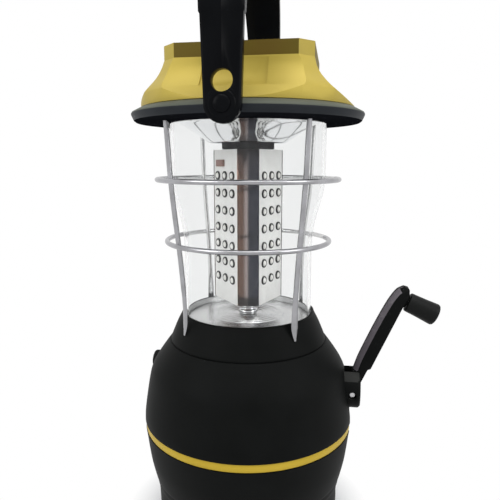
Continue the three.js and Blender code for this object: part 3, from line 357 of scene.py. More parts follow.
# %% Lamps
# (name, place, size, power): a broad one overhead, one from the front left and a weaker one from the right
lit_spot = Vector((0, 0, 0.18))
lamps = [
    ("overhead_lamp", (0.1, -0.2, 1.1), 0.9, 9),
    ("left_lamp", (-0.75, -0.7, 0.65), 0.6, 4.5),
    ("right_lamp", (0.9, -0.35, 0.55), 0.5, 3.2),
]
for name, spot, size, power in lamps:
    deselect()
    bpy.ops.object.light_add(type="AREA", location=spot)
    lamp = bpy.context.object
    lamp.name = name
    lamp.data.size = size
    lamp.data.energy = power
    lamp.rotation_euler = (lit_spot - Vector(spot)).to_track_quat("-Z", "Y").to_euler()
print("lamps", len(lamps))

# %% [markdown]
# ## Finishes
# The real lantern is nearly all moulded plastic: soft matte black for the body, glossier black for the
# handle, gold paint on the cap and the stripe, dark grey on the rim, and bright plating inside the lamp.
# A single flat colour looks like a toy, so each finish mixes two close tones with a noise pattern,
# varies its roughness, and has a very fine bump for the moulded grain. All patterns follow the object's
# own coordinates, so they stay put when the camera or a joint moves. Some finishes are lighter or darker
# copies of another, with light and shade painted in, and the lamp column has a painted reflection.

# %% Finish maker
finishes = {}


def finish(name, first, second, roughness, scale=60, grain=900, bump=0.02, metal=0, shine=0.5, **more):
    """A finish of two close tones, with roughness from low to high, a fine grain and some shine."""
    material = bpy.data.materials.new(name)
    material.use_nodes = True
    nodes, links = material.node_tree.nodes, material.node_tree.links
    shader = nodes["Principled BSDF"]
    settle(shader, Metallic=metal, Specular_IOR_Level=shine, **more)
    where = nodes.new("ShaderNodeTexCoord")
    broad = nodes.new("ShaderNodeTexNoise")
    settle(broad, Scale=scale, Detail=4)
    tones = nodes.new("ShaderNodeValToRGB")
    tones.color_ramp.elements[0].position = 0.3
    tones.color_ramp.elements[0].color = (*first, 1)
    tones.color_ramp.elements[1].position = 0.7
    tones.color_ramp.elements[1].color = (*second, 1)
    rough = nodes.new("ShaderNodeMapRange")
    settle(rough, To_Min=roughness[0], To_Max=roughness[1])
    fine = nodes.new("ShaderNodeTexNoise")
    settle(fine, Scale=grain)
    raised = nodes.new("ShaderNodeBump")
    settle(raised, Strength=bump, Distance=0.2 * MM)
    links.new(where.outputs["Object"], broad.inputs["Vector"])
    links.new(where.outputs["Object"], fine.inputs["Vector"])
    links.new(broad.outputs["Fac"], tones.inputs["Fac"])
    links.new(broad.outputs["Fac"], rough.inputs["Value"])
    links.new(fine.outputs["Fac"], raised.inputs["Height"])
    links.new(tones.outputs["Color"], shader.inputs["Base Color"])
    links.new(rough.outputs["Result"], shader.inputs["Roughness"])
    links.new(raised.outputs["Normal"], shader.inputs["Normal"])
    finishes[name] = material
    return material


# %% The finishes
finish("matte_black", (0.003, 0.0034, 0.0032), (0.0045, 0.005, 0.0048), (0.5, 0.62), bump=0.12, shine=0.05)
finish("knob_black", (0.004, 0.0043, 0.004), (0.006, 0.0063, 0.006), (0.4, 0.5), bump=0.1, shine=0.1)
# A lighter copy of the black plastic, painted light for the hub's faces that turn upwards
finish("hub_painted_top_light", (0.018, 0.0185, 0.017), (0.024, 0.0245, 0.023), (0.5, 0.6), bump=0.1, shine=0.1)
finish("gloss_black", (0.0025, 0.0028, 0.0035), (0.0038, 0.0042, 0.005), (0.22, 0.3), bump=0.05,
       shine=0.035)
# A pale grey copy of the black plastic, a painted sheen for the arm's chamfers
finish("arm_painted_sheen", (0.085, 0.075, 0.085), (0.11, 0.098, 0.11), (0.4, 0.5), bump=0.08, shine=0.3)
finish("gold_paint", (0.4, 0.305, 0.05), (0.45, 0.345, 0.06), (0.44, 0.54), scale=40, grain=2600,
       bump=0.1, metal=0.25, shine=0.25)
# A dark olive to brown copy of the gold, painted shade for the cap band's long sides
finish("gold_painted_shade_sides", (0.13, 0.112, 0.012), (0.115, 0.075, 0.012), (0.5, 0.6), scale=18, grain=2600,
       bump=0.08, shine=0.1)
# A darker copy of the gold, painted shade for the cap band's cut corners
finish("gold_painted_shade_corners", (0.36, 0.28, 0.045), (0.41, 0.31, 0.055), (0.45, 0.55), scale=40, grain=2600,
       bump=0.08, shine=0.2)
finish("gold_band", (0.46, 0.32, 0.022), (0.52, 0.36, 0.03), (0.4, 0.5), scale=40, grain=2600, bump=0.08,
       metal=0.25, shine=0.25)
finish("grey_rim", (0.016, 0.018, 0.021), (0.02, 0.023, 0.027), (0.42, 0.55), bump=0.1, shine=0.08)
# A lighter copy of the rim grey, painted light for faces that turn up
finish("rim_painted_light", (0.075, 0.082, 0.064), (0.09, 0.098, 0.077), (0.45, 0.55), bump=0.1, shine=0.1)
# A darker copy of the rim grey, painted shade for faces that turn down
finish("rim_painted_shade", (0.005, 0.0055, 0.007), (0.007, 0.0075, 0.009), (0.7, 0.8), bump=0.05, shine=0)
finish("chrome", (0.78, 0.79, 0.8), (0.86, 0.87, 0.88), (0.05, 0.1), scale=25, bump=0.01, metal=1)
finish("cup_plating", (0.6, 0.6, 0.6), (0.68, 0.68, 0.68), (0.22, 0.3), scale=25, bump=0.01, metal=1)
# Two copies of the wire plating: a darker one, a painted dark reflection for the near half of the guard,
finish("wire_painted_dark_reflection", (0.3, 0.3, 0.31), (0.42, 0.42, 0.44), (0.2, 0.32), scale=90, bump=0.02, metal=1)
# and a brighter one, a painted bright reflection for its far half
finish("wire_painted_bright_reflection", (0.62, 0.62, 0.62), (0.72, 0.72, 0.72), (0.2, 0.3), scale=90, bump=0.02, metal=1)
finish("board_white", (0.8, 0.8, 0.78), (0.88, 0.88, 0.86), (0.45, 0.55), scale=200, bump=0.03)
finish("board_part", (0.2, 0.1, 0.075), (0.25, 0.13, 0.1), (0.4, 0.5), scale=300, bump=0.02)
finish("led_ring", (0.008, 0.008, 0.008), (0.014, 0.014, 0.013), (0.4, 0.5), scale=300, bump=0.02,
       shine=0.2)
finish("led_lens", (0.82, 0.81, 0.77), (0.92, 0.91, 0.88), (0.12, 0.2), scale=400, bump=0.02)
finish("rubber", (0.007, 0.007, 0.007), (0.011, 0.011, 0.011), (0.75, 0.9), bump=0.2, shine=0.1)
finish("steel", (0.45, 0.45, 0.46), (0.58, 0.58, 0.59), (0.22, 0.34), scale=120, bump=0.03, metal=1)
finish("nylon", (0.7, 0.68, 0.6), (0.8, 0.78, 0.7), (0.4, 0.5), bump=0.04)
finish("circuit_green", (0.012, 0.07, 0.025), (0.02, 0.1, 0.035), (0.35, 0.5), scale=400, bump=0.05)
finish("cell_wrap", (0.03, 0.12, 0.05), (0.04, 0.16, 0.07), (0.25, 0.35), bump=0.02)
finish("solar_cells", (0.008, 0.012, 0.04), (0.014, 0.02, 0.07), (0.2, 0.3), scale=150, bump=0.02)
finish("clear_plastic", (0.93, 0.935, 0.935), (0.95, 0.955, 0.955), (0.02, 0.04), scale=20, bump=0,
       Transmission_Weight=0.975, IOR=1.05)


# %% Plating of the lamp column, with a painted reflection and painted shade
painted_reflection_left, painted_reflection_right, painted_shade_start, painted_shade_end = -3, 9, 205, 226


def plating(name, brown, pale, blue):
    """Plating with a painted reflection from brown over pale to blue across the column's front, and painted
    shade darker towards its top.
    """
    material = finish(name, pale, pale, (0.08, 0.16), scale=30, bump=0.01, metal=0.9)
    nodes, links = material.node_tree.nodes, material.node_tree.links
    where = nodes.new("ShaderNodeTexCoord")
    apart = nodes.new("ShaderNodeSeparateXYZ")
    spread = nodes.new("ShaderNodeMapRange")
    settle(spread, From_Min=painted_reflection_left * MM, From_Max=painted_reflection_right * MM)
    tones = nodes.new("ShaderNodeValToRGB")
    for position, tone in ((0.3, brown), (0.42, pale), (0.48, pale), (0.58, blue)):
        mark = tones.color_ramp.elements.new(position)
        mark.color = (*tone, 1)
    tones.color_ramp.elements[0].color = (*brown, 1)
    tones.color_ramp.elements[-1].color = (*blue, 1)
    top = nodes.new("ShaderNodeMapRange")
    settle(top, From_Min=painted_shade_start * MM, From_Max=painted_shade_end * MM, To_Max=0.75)
    darker = nodes.new("ShaderNodeMix")
    darker.data_type = "RGBA"
    settle(darker, B=(0.02, 0.016, 0.018, 1))
    links.new(where.outputs["Object"], apart.inputs["Vector"])
    links.new(apart.outputs["X"], spread.inputs["Value"])
    links.new(spread.outputs["Result"], tones.inputs["Fac"])
    links.new(apart.outputs["Z"], top.inputs["Value"])
    links.new(top.outputs["Result"], darker.inputs["Factor"])
    links.new(tones.outputs["Color"], darker.inputs["A"])
    links.new(darker.outputs["Result"], nodes["Principled BSDF"].inputs["Base Color"])


# The column's plating gets a painted reflection in brown, pale and blue, and painted shade towards its top
plating("column_painted_reflection", (0.12, 0.066, 0.046), (0.3, 0.25, 0.24), (0.02, 0.022, 0.034))
print("finishes", len(finishes))

# %% [markdown]
# ## Body
# The body is two black shells that meet at a gold stripe. On the real lantern they are injection moulded,
# and each is a surface of revolution with a gentle belly. A lathe profile is the natural way to make them:
# one smooth line from the foot to the stripe, and another from the stripe to the shoulder. Then the place
# where the crank folds away is cut out of them: a round well, a flat channel and a round pocket.

# %% Profiles of the body
foot_radius, band_radius, shoulder_radius = 54.7, 63, 47
lower_bottom, band_bottom, band_top, shoulder_top = 3, 63.5, 68.5, 116
wall, slit = 2.4, 0.3
lower_shares = [
    (0, 0), (0.16, 0.04), (0.36, 0.1), (0.42, 0.15), (0.44, 0.21), (0.5, 0.27), (0.52, 0.35), (0.68, 0.62),
    (0.82, 0.77), (0.94, 0.88), (1, 0.94),
]
upper_shares = [
    (0, 0.01), (0.12, 0.03), (0.37, 0.14), (0.6, 0.27), (0.72, 0.42), (0.83, 0.63), (0.92, 0.82), (1, 1),
]
lower_line = curved(by_shares(lower_shares, foot_radius, band_radius, lower_bottom, band_bottom))
upper_line = curved(by_shares(upper_shares, band_radius, shoulder_radius, band_top, shoulder_top))
band_recess, band_depth = 0.8, 3.6
lip_radius = band_radius - band_recess - band_depth - slit
inner_radius = lip_radius - wall

# %% Space for the folded crank
hub_height, hub_radius, hub_base = 87.5, 12, 54.8
hinge = Vector((63, 0, 86.4))
arm_length, knob_length = 62, 17.5
stow_floor, stow_half, stow_bottom = 57.9, 8.5, 31.4
pocket_radius, pocket_height, pocket_end = 8.2, hinge.z - arm_length, 40.2
beyond = band_radius + 2


def rod_x(name, radius, start, end, height, steps=48):
    """A round bar along X."""
    return lathe(name, bar(radius, start, end), (0, 0, height), ALONG_X, UPWARDS, steps)


def rod_y(name, radius, start, end, x, height):
    """A round bar along Y."""
    return lathe(name, bar(radius, start, end), (x, 0, height), ALONG_Y, UPWARDS, 48)


def stow_space():
    """The well, the channel and the pocket, as three tools to cut with."""
    return [
        rod_x("well", hub_radius + 0.5, hub_base - slit, beyond, hub_height, 64),
        block("channel", (stow_floor, -stow_half, stow_bottom), (beyond, stow_half, hub_height)),
        rod_x("pocket", pocket_radius, pocket_end, beyond, pocket_height),
    ]


def backing(outside):
    """Solid plastic behind the stow space, inside the outline of the shell."""
    half = stow_half + 2
    solid = block("backing", (stow_floor - 2, -half, lower_bottom), (band_radius, half, hub_height))
    join(solid, rod_x("boss", hub_radius + 2.6, 45.8, band_radius, hub_height, 64))
    join(solid, rod_x("cup", pocket_radius + 2, pocket_end - 2, band_radius, pocket_height))
    return combine(solid, outside, "INTERSECT")


# %% Lower shell
outside = lathe("outside", [(0, lower_bottom), *lower_line, (0, band_bottom)], steps=128)
inner_line = [(min(radius - wall, inner_radius), height) for radius, height in lower_line[::6]]
lower_body = lathe("lower_body", [
    *lower_line,
    (lip_radius, band_bottom), (lip_radius, band_top - slit), (inner_radius, band_top - slit),
    *reversed(inner_line), lower_line[0],
], steps=128)
join(lower_body, backing(outside))
cut(lower_body, *stow_space())
jack_face, jack_height = 54.88, 16.5
flap_x, flap_z, socket = 7.8, 6.3, 4.8
cut(lower_body, block(
    "flap_pocket", (-flap_x, jack_face - 2.5, jack_height - flap_z), (flap_x, 62, jack_height + flap_z),
))
cut(lower_body, block(
    "socket_hole", (-socket, 30, jack_height - socket), (socket, 60, jack_height + socket),
))
ease(lower_body, 0.35)
place(lower_body, "lantern", "black_plastic", "matte_black", "lower_shell")

# %% Upper shell
button_height, button_radius = 97, 6
outside = lathe("outside", [(0, band_top), *upper_line, (0, shoulder_top)], steps=128)
inner_line = [(radius - wall, height) for radius, height in upper_line[:-4:6]]
upper_body = lathe("upper_body", [
    *upper_line,
    (36, shoulder_top), (36, shoulder_top - wall), (shoulder_radius - wall, shoulder_top - wall),
    *reversed(inner_line), upper_line[0],
], steps=128)
join(upper_body, backing(outside))
cut(upper_body, *stow_space())
cut(
    upper_body,
    rod_x("shaft_hole", 4.3, 40, 70, hub_height),
    rod_x("button_hole", button_radius + slit, -66, -50, button_height),
)
ease(upper_body, 0.35)
place(upper_body, "lantern", "black_plastic", "matte_black", "upper_shell")

# %% Gold stripe
ring_radius = band_radius - band_recess
ring_inside = ring_radius - band_depth
ring_low, ring_high = band_bottom + slit, band_top - slit
gold_band = lathe("gold_band", [
    (ring_radius, ring_low), (ring_radius + 0.25, (band_bottom + band_top) / 2), (ring_radius, ring_high),
    (ring_inside, ring_high), (ring_inside, ring_low), (ring_radius, ring_low),
], steps=128)
cut(gold_band, *stow_space())
ease(gold_band, 0.4, 3)
place(gold_band, "lantern", "gold_band", "gold_band", "stripe_ring")

# %% [markdown]
# ## Neck ring and chimney
# A sloping black ring sits on the shoulder and holds the clear chimney, which widens above the guard's
# lower ring. The chimney is blown or moulded with a real wall, so it is turned with an inside and an
# outside line. A single skin would refract light as if it were a solid block.

# %% Neck ring
collar_bottom, collar_top, collar_seat = 116.1, 133, 124
collar_shares = [(0, 0), (0.1, 0.04), (0.58, 0.52), (0.92, 0.94), (1, 1)]
collar_line = curved(by_shares(collar_shares, 46.2, 39.2, collar_bottom, collar_top))
neck_radius = 37.4
neck_bore = neck_radius + slit
neck_ring = lathe("neck_ring", [
    *collar_line, (neck_bore, collar_top), (neck_bore, collar_seat), (33, collar_seat), (33, collar_seat - 4),
    (36, collar_bottom), collar_line[0],
], steps=128)
ease(neck_ring, 0.15)
place(neck_ring, "lantern", "black_plastic", "matte_black", "neck_collar")
tint(neck_ring, "cup_plating", lambda spot, normal: spot.z > collar_seat and normal.dot(spot) < -20)

# %% Chimney
top_radius, chimney_wall = 44.4, 2
chimney_bottom, neck_top, flare_top, chimney_top = 124.3, 172, 213, 241.2
flare_shares = [(0, 0), (0.25, 0.12), (0.5, 0.45), (0.75, 0.85), (1, 1)]
flare = curved(by_shares(flare_shares, neck_radius, top_radius, neck_top, flare_top))
outer = [
    (neck_radius, chimney_bottom), (neck_radius, 155), *flare, (top_radius, 226), (top_radius, chimney_top),
]
inner = [(radius - chimney_wall, height) for radius, height in reversed(outer)]
chimney = lathe("chimney", [*outer, *inner, outer[0]], steps=128)
ease(chimney, 0.4, 2)
place(chimney, "lantern", "clear_plastic", "clear_plastic", "lamp_chimney")

# %% [markdown]
# ## Inside the lamp
# Three white boards with rows of round LEDs stand round a plated column. Below lies a bright dish with
# fine rings, and above hangs a plated dome that throws the light down. One LED is modelled, as a dark ring
# round a clear lens, and copied over one board. That board is then copied and turned three times.

# %% Column
column_bottom, column_top = 140, 227
column_radius, apothem, board_width, board_thickness = 20.8, 15, 28, 1.6
half_panel = math.atan2(board_width / 2, apothem)
column_turn = math.radians(9.5)
seat = apothem - board_thickness - slit
outline = []
for k in range(3):
    middle = k * math.tau / 3 - math.pi / 2 + column_turn
    for step in range(9):
        turn = middle + (math.pi / 3 - half_panel) * (step / 4 - 1)
        outline.append((*around(column_radius, turn), column_bottom))
    facing = middle + math.pi / 3
    for along in (-board_width / 2, board_width / 2):
        outline.append((
            seat * math.cos(facing) - along * math.sin(facing),
            seat * math.sin(facing) + along * math.cos(facing),
            column_bottom,
        ))
lamp_column = slab("lamp_column", outline, (0, 0, column_top - column_bottom))
ease(lamp_column, 0.3, 2)
# The column wears the plating with a painted reflection and a painted darker top
place(lamp_column, "lantern", "chrome", "column_painted_reflection", "led_column")

# %% One LED
led_rows, led_columns, row_pitch, column_pitch, top_row = 7, 3, 9.8, 8.6, 212.5
first_led = lathe("led", [
    (2.5, -0.1), (2.5, 0.6), (2.25, 0.9), (1.8, 0.8), (1.72, -0.1), (2.5, -0.1),
], (apothem, 0, 0), ALONG_X, UPWARDS, 20)
coat(first_led, "led_ring")
lens = lathe("lens", [
    (0, -0.1), (1.7, -0.1), (1.68, 0.6), (1.4, 1.05), (0.85, 1.35), (0, 1.5),
], (apothem, 0, 0), ALONG_X, UPWARDS, 20)
coat(lens, "led_lens")
gather(first_led, lens)

# %% Boards
board_half = board_width / 2 - slit
board_back = apothem - board_thickness
board = block("board", (board_back, -board_half, column_bottom), (apothem, board_half, column_top))
ease(board, 0.25, 2)
coat(board, "board_white")
leds = []
for row in range(led_rows):
    for column in range(led_columns):
        one = copy_of(first_led, "led_copy")
        bpy.ops.object.mode_set(mode="EDIT")
        select_mesh()
        aside, rise = (column - 1) * column_pitch, top_row - row * row_pitch
        bpy.ops.transform.translate(value=(0, aside * MM, rise * MM))
        bpy.ops.object.mode_set(mode="OBJECT")
        leds.append(one)
bpy.data.objects.remove(first_led)
gather(board, *leds)
ease(board, 0)


def turned_copy(piece, name, angle):
    """A copy, turned round the lantern's axis in its own mesh."""
    other = copy_of(piece, name)
    bpy.ops.object.mode_set(mode="EDIT")
    select_mesh()
    bpy.ops.transform.rotate(value=-angle, orient_axis="Z", center_override=(0, 0, 0))
    bpy.ops.object.mode_set(mode="OBJECT")
    return other


for k in range(3):
    turn = k * math.tau / 3 + math.pi / 3 - math.pi / 2 + column_turn
    part = turned_copy(board, f"board_{k + 1}", turn)
    # One board also carries a small brown part
    if k == 2:
        resistor = block("resistor", (apothem - 0.1, -9.6, 217.6), (apothem + 1.1, -0.6, 221.4))
        ease(resistor, 0.2)
        coat(resistor, "board_part")
        gather(part, turned_copy(resistor, "resistor_copy", turn))
        bpy.data.objects.remove(resistor)
    place(part, "lantern", "led_board", None, f"led_board_{k + 1}")
bpy.data.objects.remove(board)

# %% Plate over the column, foot and reflectors
column_plate = lathe("column_plate", bar(15, column_top + slit, 231.9))
ease(column_plate, 0.5, 3)
# The plate wears the rim grey's darker copy, painted shade
place(column_plate, "lantern", "rim_plastic", "rim_painted_shade", "column_cap")
column_foot = lathe("column_foot", [
    (0, 131.3), (5.5, 131.3), (5.5, 133), (4.6, 134), (4.6, 138), (5.5, 139.7), (0, 139.7),
])
ease(column_foot, 0.3, 2)
place(column_foot, "lantern", "chrome", "chrome", "center_post")
dome_line = curved([(41.8, 241.1), (38, 239.9), (32, 236.8), (26, 233), (22, 230.6)])
dome_back = [(radius - 0.2, height + 1) for radius, height in reversed(dome_line[2:-1])]
dome = lathe("dome", [
    *dome_line, (22, 231.6), *dome_back, (39, 241.2), (41.8, 241.2), dome_line[0],
], steps=128)
ease(dome, 0.15)
place(dome, "lantern", "chrome", "chrome", "top_reflector")
rings = []
for radius in (20.5, 17.2, 14, 11, 8):
    rings += [(radius + 0.9, 130.4), (radius + 0.5, 131), (radius - 0.5, 131), (radius - 0.9, 130.4)]
dish_radius, dish_top = 35.1, 130
dish_slope = curved([(34.4, dish_top), (30, 130.1), (26, 130.3), (22.4, 130.4)])
dish = lathe("dish", [
    (0, chimney_bottom), (dish_radius, chimney_bottom), (dish_radius, dish_top), *dish_slope, *rings,
    (6.8, 130.8), (0, 130.8),
], steps=128)
ease(dish, 0.1)
place(dish, "lantern", "chrome", "cup_plating", "bottom_reflector")

# %% [markdown]
# ## Rim and cap
# A wide dark rim carries the gold cap. The cap is round where it meets the rim and sweeps up into a square
# band with cut corners. The same shape comes from keeping only what three simple solids share: a square
# trumpet, another square trumpet turned by 45 degrees, and a round bar. A spin with four steps makes each
# trumpet, and the Boolean modifier keeps the common part.

# %% Rim
pivot_height, pivot_bore = 245.4, 3.7
rim = lathe("rim", [
    (0, 241.5), (62.6, 241.5), (63.6, 242.2), (65, 245.2), (65, 245.9), (64.6, 246.6), (60.2, 248.9),
    (59.5, 249), (54.5, 249), (54.5, 243.5), (0, 243.5),
], steps=128)
for side in (-1, 1):
    cut(rim, rod_y("pivot_hole", pivot_bore, side * 56, side * 70, 0, pivot_height))
ease(rim, 0.5, 3)
place(rim, "lantern", "rim_plastic", "grey_rim", "cap_rim")
# Painted light and shade on the rim: lighter grey on faces that turn up, darker grey on faces that turn down
tint(rim, "rim_painted_light", lambda spot, normal: normal.z > 0.45)
tint(rim, "rim_painted_shade", lambda spot, normal: normal.z < -0.6)

# %% Cap
cap_bottom, cap_band, cap_top = 249.3, 271.4, 278.5
cap_side, cap_corner, cap_radius = 38.5, 49.2, 59.5
cap_shares = [
    (0, 0, 0), (0.055, 0.13, 0), (0.19, 0.36, 0.03), (0.35, 0.6, 0.14), (0.59, 0.83, 0.54), (0.8, 0.95, 0.79),
    (1, 1, 1),
]
recess_radius, recess_half, recess_y, recess_height = 14.3, 16.5, 52.9, 269.7
well_half, window_corner = 28, 4


def trumpet(name, shares, end, quarter):
    """A square solid whose flat sides follow a curved line, spun in four steps."""
    line = curved(by_shares(shares, cap_radius, end, cap_bottom, cap_band), 3)
    corner = math.sqrt(2)
    flare = [(radius * corner, height) for radius, height in line]
    low, high = cap_bottom - 2, cap_top + 2
    points = [(0, low), (flare[0][0], low), *flare, (end * corner, high), (0, high)]
    return lathe(name, points, outward=(*around(1, quarter), 0), steps=4)


cap = lathe("cap", bar(cap_radius, cap_bottom, cap_top), steps=160)
combine(cap, trumpet("sides", [(up, side) for up, side, _ in cap_shares], cap_side, math.pi / 4), "INTERSECT")
combine(cap, trumpet("corners", [(up, corner) for up, _, corner in cap_shares], cap_corner, 0), "INTERSECT")
hollow = lathe("hollow", [
    (0, 246), (55, 246), (54.5, 249.8), (35.1, 254.5), (35.1, 272.1), (0, 272.1),
], steps=80)
cut(cap, hollow, block("well", (-well_half, -well_half, 273.9), (well_half, well_half, 281)))
for side in (-1, 1):
    y = side * recess_y
    line = bar(recess_radius, -recess_half, recess_half)
    recess = lathe("recess", line, (0, y, recess_height), ALONG_X, UPWARDS, 96)
    keep = block("above_recess", (-20, y - 16, cap_band - 0.1), (20, y + 16, 290))
    cut(cap, cut(recess, keep))
ease(cap, 0.5, 3, 25)
place(cap, "lantern", "gold_paint", "gold_paint", "cap_shell")


def on_band(spot, normal):
    """Whether a face belongs to the upright band round the top of the cap."""
    return spot.z > cap_band and abs(normal.z) < 0.3 and math.hypot(spot.x, spot.y) > 36


def on_side(spot, normal):
    """Whether a face belongs to one of the band's four long sides."""
    return on_band(spot, normal) and max(abs(normal.x), abs(normal.y)) > 0.97


# Painted shade on the upright band: darker gold on its cut corners, dark olive to brown on its long sides
tint(cap, "gold_painted_shade_corners", on_band)
tint(cap, "gold_painted_shade_sides", on_side)

# %% Solar window and cells
def rounded_square(half, corner, height, steps=6):
    """The outline of a square with round corners."""
    points = []
    for quarter, signs in enumerate(((1, 1), (-1, 1), (-1, -1), (1, -1))):
        middle = [(half - corner) * sign for sign in signs]
        for step in range(steps + 1):
            x, y = around(corner, (quarter + step / steps) * math.pi / 2)
            points.append((middle[0] + x, middle[1] + y, height))
    return points


window = slab("window", rounded_square(well_half - slit, window_corner, 276.5), (0, 0, 1.6))
ease(window, 0.3, 2)
place(window, "lantern", "clear_plastic", "clear_plastic", "solar_window")
panel = slab("panel", rounded_square(well_half - slit, window_corner, 274.8), (0, 0, 1.4))
ease(panel, 0.1, 1)
place(panel, "lantern", "solar_cell", "solar_cells", "solar_panel")

# %% [markdown]
# ## Handle
# The handle is one long strap of glossy black plastic that goes up, over and down again. It could be bent
# with a modifier, but it is simpler to draw its cross-section once, extrude it up the arm, spin it a
# quarter turn to the top, and mirror it. Along the arch it grows wider and thicker towards the grip. A crease
# runs down the middle of its outer face, and each arm ends in a round eye for the pivot, with a larger hole
# above it.

# %% Strap section
arm_y, strap = 68.1, 5
step_height, step_out, grip = 284, 0.9, 9
width_low, width_high = 17, 23.6
handle_top = step_height + arm_y
inside, outside_face = -(arm_y - strap / 2), -(arm_y + strap / 2)


def half_width(height):
    """The handle widens steadily from the pivot up to the grip."""
    return (width_low + (width_high - width_low) * (height - pivot_height) / (handle_top - pivot_height)) / 2


half = half_width(pivot_height)
section = [
    (-half, inside), (half, inside), (half, outside_face + 0.8), (half - 1.1, outside_face),
    (0.9, outside_face + 0.35), (0, outside_face + 0.75), (-0.9, outside_face + 0.35),
    (1.1 - half, outside_face), (-half, outside_face + 0.8),
]
handle = draw_line("handle_strap", [(x, y, pivot_height) for x, y in section])
select_mesh()
bpy.ops.mesh.edge_face_add()

# %% Up the arm
here, width, thickness = pivot_height, half, strap
for height, deeper in [(256, 0), (270, 0), (step_height - step_out, 0), (step_height, step_out)]:
    bpy.ops.mesh.extrude_region_move(TRANSFORM_OT_translate={"value": (0, 0, (height - here) * MM)})
    bpy.ops.transform.resize(
        value=((half_width(height) + deeper / 2) / width, (strap + deeper) / thickness, 1),
        center_override=(0, -arm_y * MM, height * MM),
    )
    here, width, thickness = height, half_width(height) + deeper / 2, strap + deeper

# %% Round the arch
bpy.ops.mesh.spin(steps=20, angle=math.pi / 2, center=(0, 0, step_height * MM), axis=(1, 0, 0))
bpy.ops.mesh.delete(type="ONLY_FACE")
bpy.ops.object.mode_set(mode="OBJECT")
for corner in handle.data.vertices:
    rise = corner.co.z / MM - step_height
    if rise > 0.01:
        out = math.hypot(corner.co.y / MM, rise)
        turn = math.atan2(rise, -corner.co.y / MM)
        thicker = 1 + (grip / thickness - 1) * turn / (math.pi / 2)
        wider = half_width(step_height + arm_y * math.sin(turn)) / half_width(step_height)
        reach = (arm_y + (out - arm_y) * thicker) / out
        corner.co.x *= wider
        corner.co.y *= reach
        corner.co.z = (step_height + rise * reach) * MM
mirror = handle.modifiers.new("other_arm", "MIRROR")
mirror.use_axis = (False, True, False)
mirror.merge_threshold = 0.05 * MM
hold(handle)
bpy.ops.object.modifier_apply(modifier=mirror.name)
bpy.ops.object.mode_set(mode="EDIT")
close_mesh(handle)

# %% Eyes and holes
hole_radius, hole_height = 5, 255.4
for side in (-1, 1):
    near, far = side * (arm_y - strap / 2), side * (arm_y + strap / 2)
    raised = far + side * 0.5
    join(handle, lathe("eye", [
        (0, near), (half, near), (half, far - side * 0.8), (half - 1.1, far), (6.4, far), (6, raised),
        (0, raised),
    ], (0, 0, pivot_height), ALONG_Y, UPWARDS, 64))
    low, high = sorted((side * 60, side * 76))
    cut(
        handle,
        rod_y("hole", hole_radius, low, high, 0, hole_height),
        rod_y("pivot_hole", pivot_bore, low, high, 0, pivot_height),
    )
ease(handle, 0.35, 2)
place(handle, "bail", "handle_plastic", "gloss_black", "handle")

# %% Pivots
for side, name in ((-1, "front"), (1, "back")):
    pivot = lathe(f"pivot_{name}", [
        (0, side * 57), (3.4, side * 57), (3.4, side * 71.15), (4, side * 71.15), (3.9, side * 71.6),
        (3.2, side * 72), (1.8, side * 72.25), (0, side * 72.3),
    ], (0, 0, pivot_height), ALONG_Y, UPWARDS, 48)
    ease(pivot, 0.12)
    place(pivot, "lantern", "handle_plastic", "gloss_black", f"handle_pivot_{name}")

# %% [markdown]
# ## Wire guard
# Four plated legs come down from under the rim and bend in to the neck ring, and two rings are welded to
# them. Wire is easy as a curve with a round bevel, so each leg is drawn as a line, turned into a curve that
# gives it thickness, and turned back into a mesh so that its foot can be pressed flat. The rings are a
# small circle spun round the axis.

# %% Rings
wire_radius = 1.4
ring_places = [(52, 210.3), (47.2, 175)]
circle = [around(wire_radius, k * math.tau / 14) for k in range(15)]
guard_rings = [
    lathe("guard_ring", [(radius + out, height + up) for out, up in circle], steps=112)
    for radius, height in ring_places
]

# %% Legs
foot_end, foot_start = 124.5, 152
flattening, sharpening, point_start = 0.6, 0.7, 0.75
leg_line = curved([
    (43.6, foot_end), (43, 132), (43.2, 142), (44.2, 157), (46, 175), (48.3, 194), (50.1, 212), (51.1, 228),
    (52, 241.1),
], 6)


def guard_leg(turn):
    """A round wire whose lower end is pressed flat and comes to a point."""
    across = Vector((*around(1, turn), 0))
    leg = draw_line("guard_leg", [across * radius + Vector((0, 0, height)) for radius, height in leg_line])
    bpy.ops.object.mode_set(mode="OBJECT")
    hold(leg)
    bpy.ops.object.convert(target="CURVE")
    leg.data.bevel_depth = wire_radius * MM
    leg.data.bevel_resolution = 3
    leg.data.use_fill_caps = True
    bpy.ops.object.convert(target="MESH")
    for corner in leg.data.vertices:
        height = corner.co.z / MM
        if height < foot_start:
            share = (foot_start - height) / (foot_start - foot_end)
            low = min(range(len(leg_line)), key=lambda k: abs(leg_line[k][1] - height))
            middle = across * leg_line[low][0] * MM
            offset = Vector((corner.co.x, corner.co.y, 0)) - middle
            radial = offset.dot(across)
            side = Vector((-across.y, across.x, 0))
            tangential = offset.dot(side)
            pressed = min(1, share * 2.2)
            flat = 1 - flattening * pressed
            point = max(0, share - point_start) / (1 - point_start)
            wide = (1 + flattening * pressed) * (1 - sharpening * point)
            spot = middle + across * radial * flat + side * tangential * wide
            corner.co.x, corner.co.y = spot.x, spot.y
    bpy.ops.object.mode_set(mode="EDIT")
    return close_mesh(leg)


legs = [guard_leg((k + 0.5) * math.tau / 4) for k in range(4)]
guard = gather(guard_rings[0], guard_rings[1], *legs)
guard.name = "guard"
ease(guard, 0, angle=50)
wires = [f"guard_wire_{k + 1}" for k in range(4)]
place(guard, "lantern", "chrome", "wire_painted_dark_reflection", "guard_ring_upper", "guard_ring_lower", *wires)
# Painted reflections on the guard: the near half keeps the darker plating, the far half gets a brighter one
tint(guard, "wire_painted_bright_reflection", lambda spot, normal: spot.y > 15)

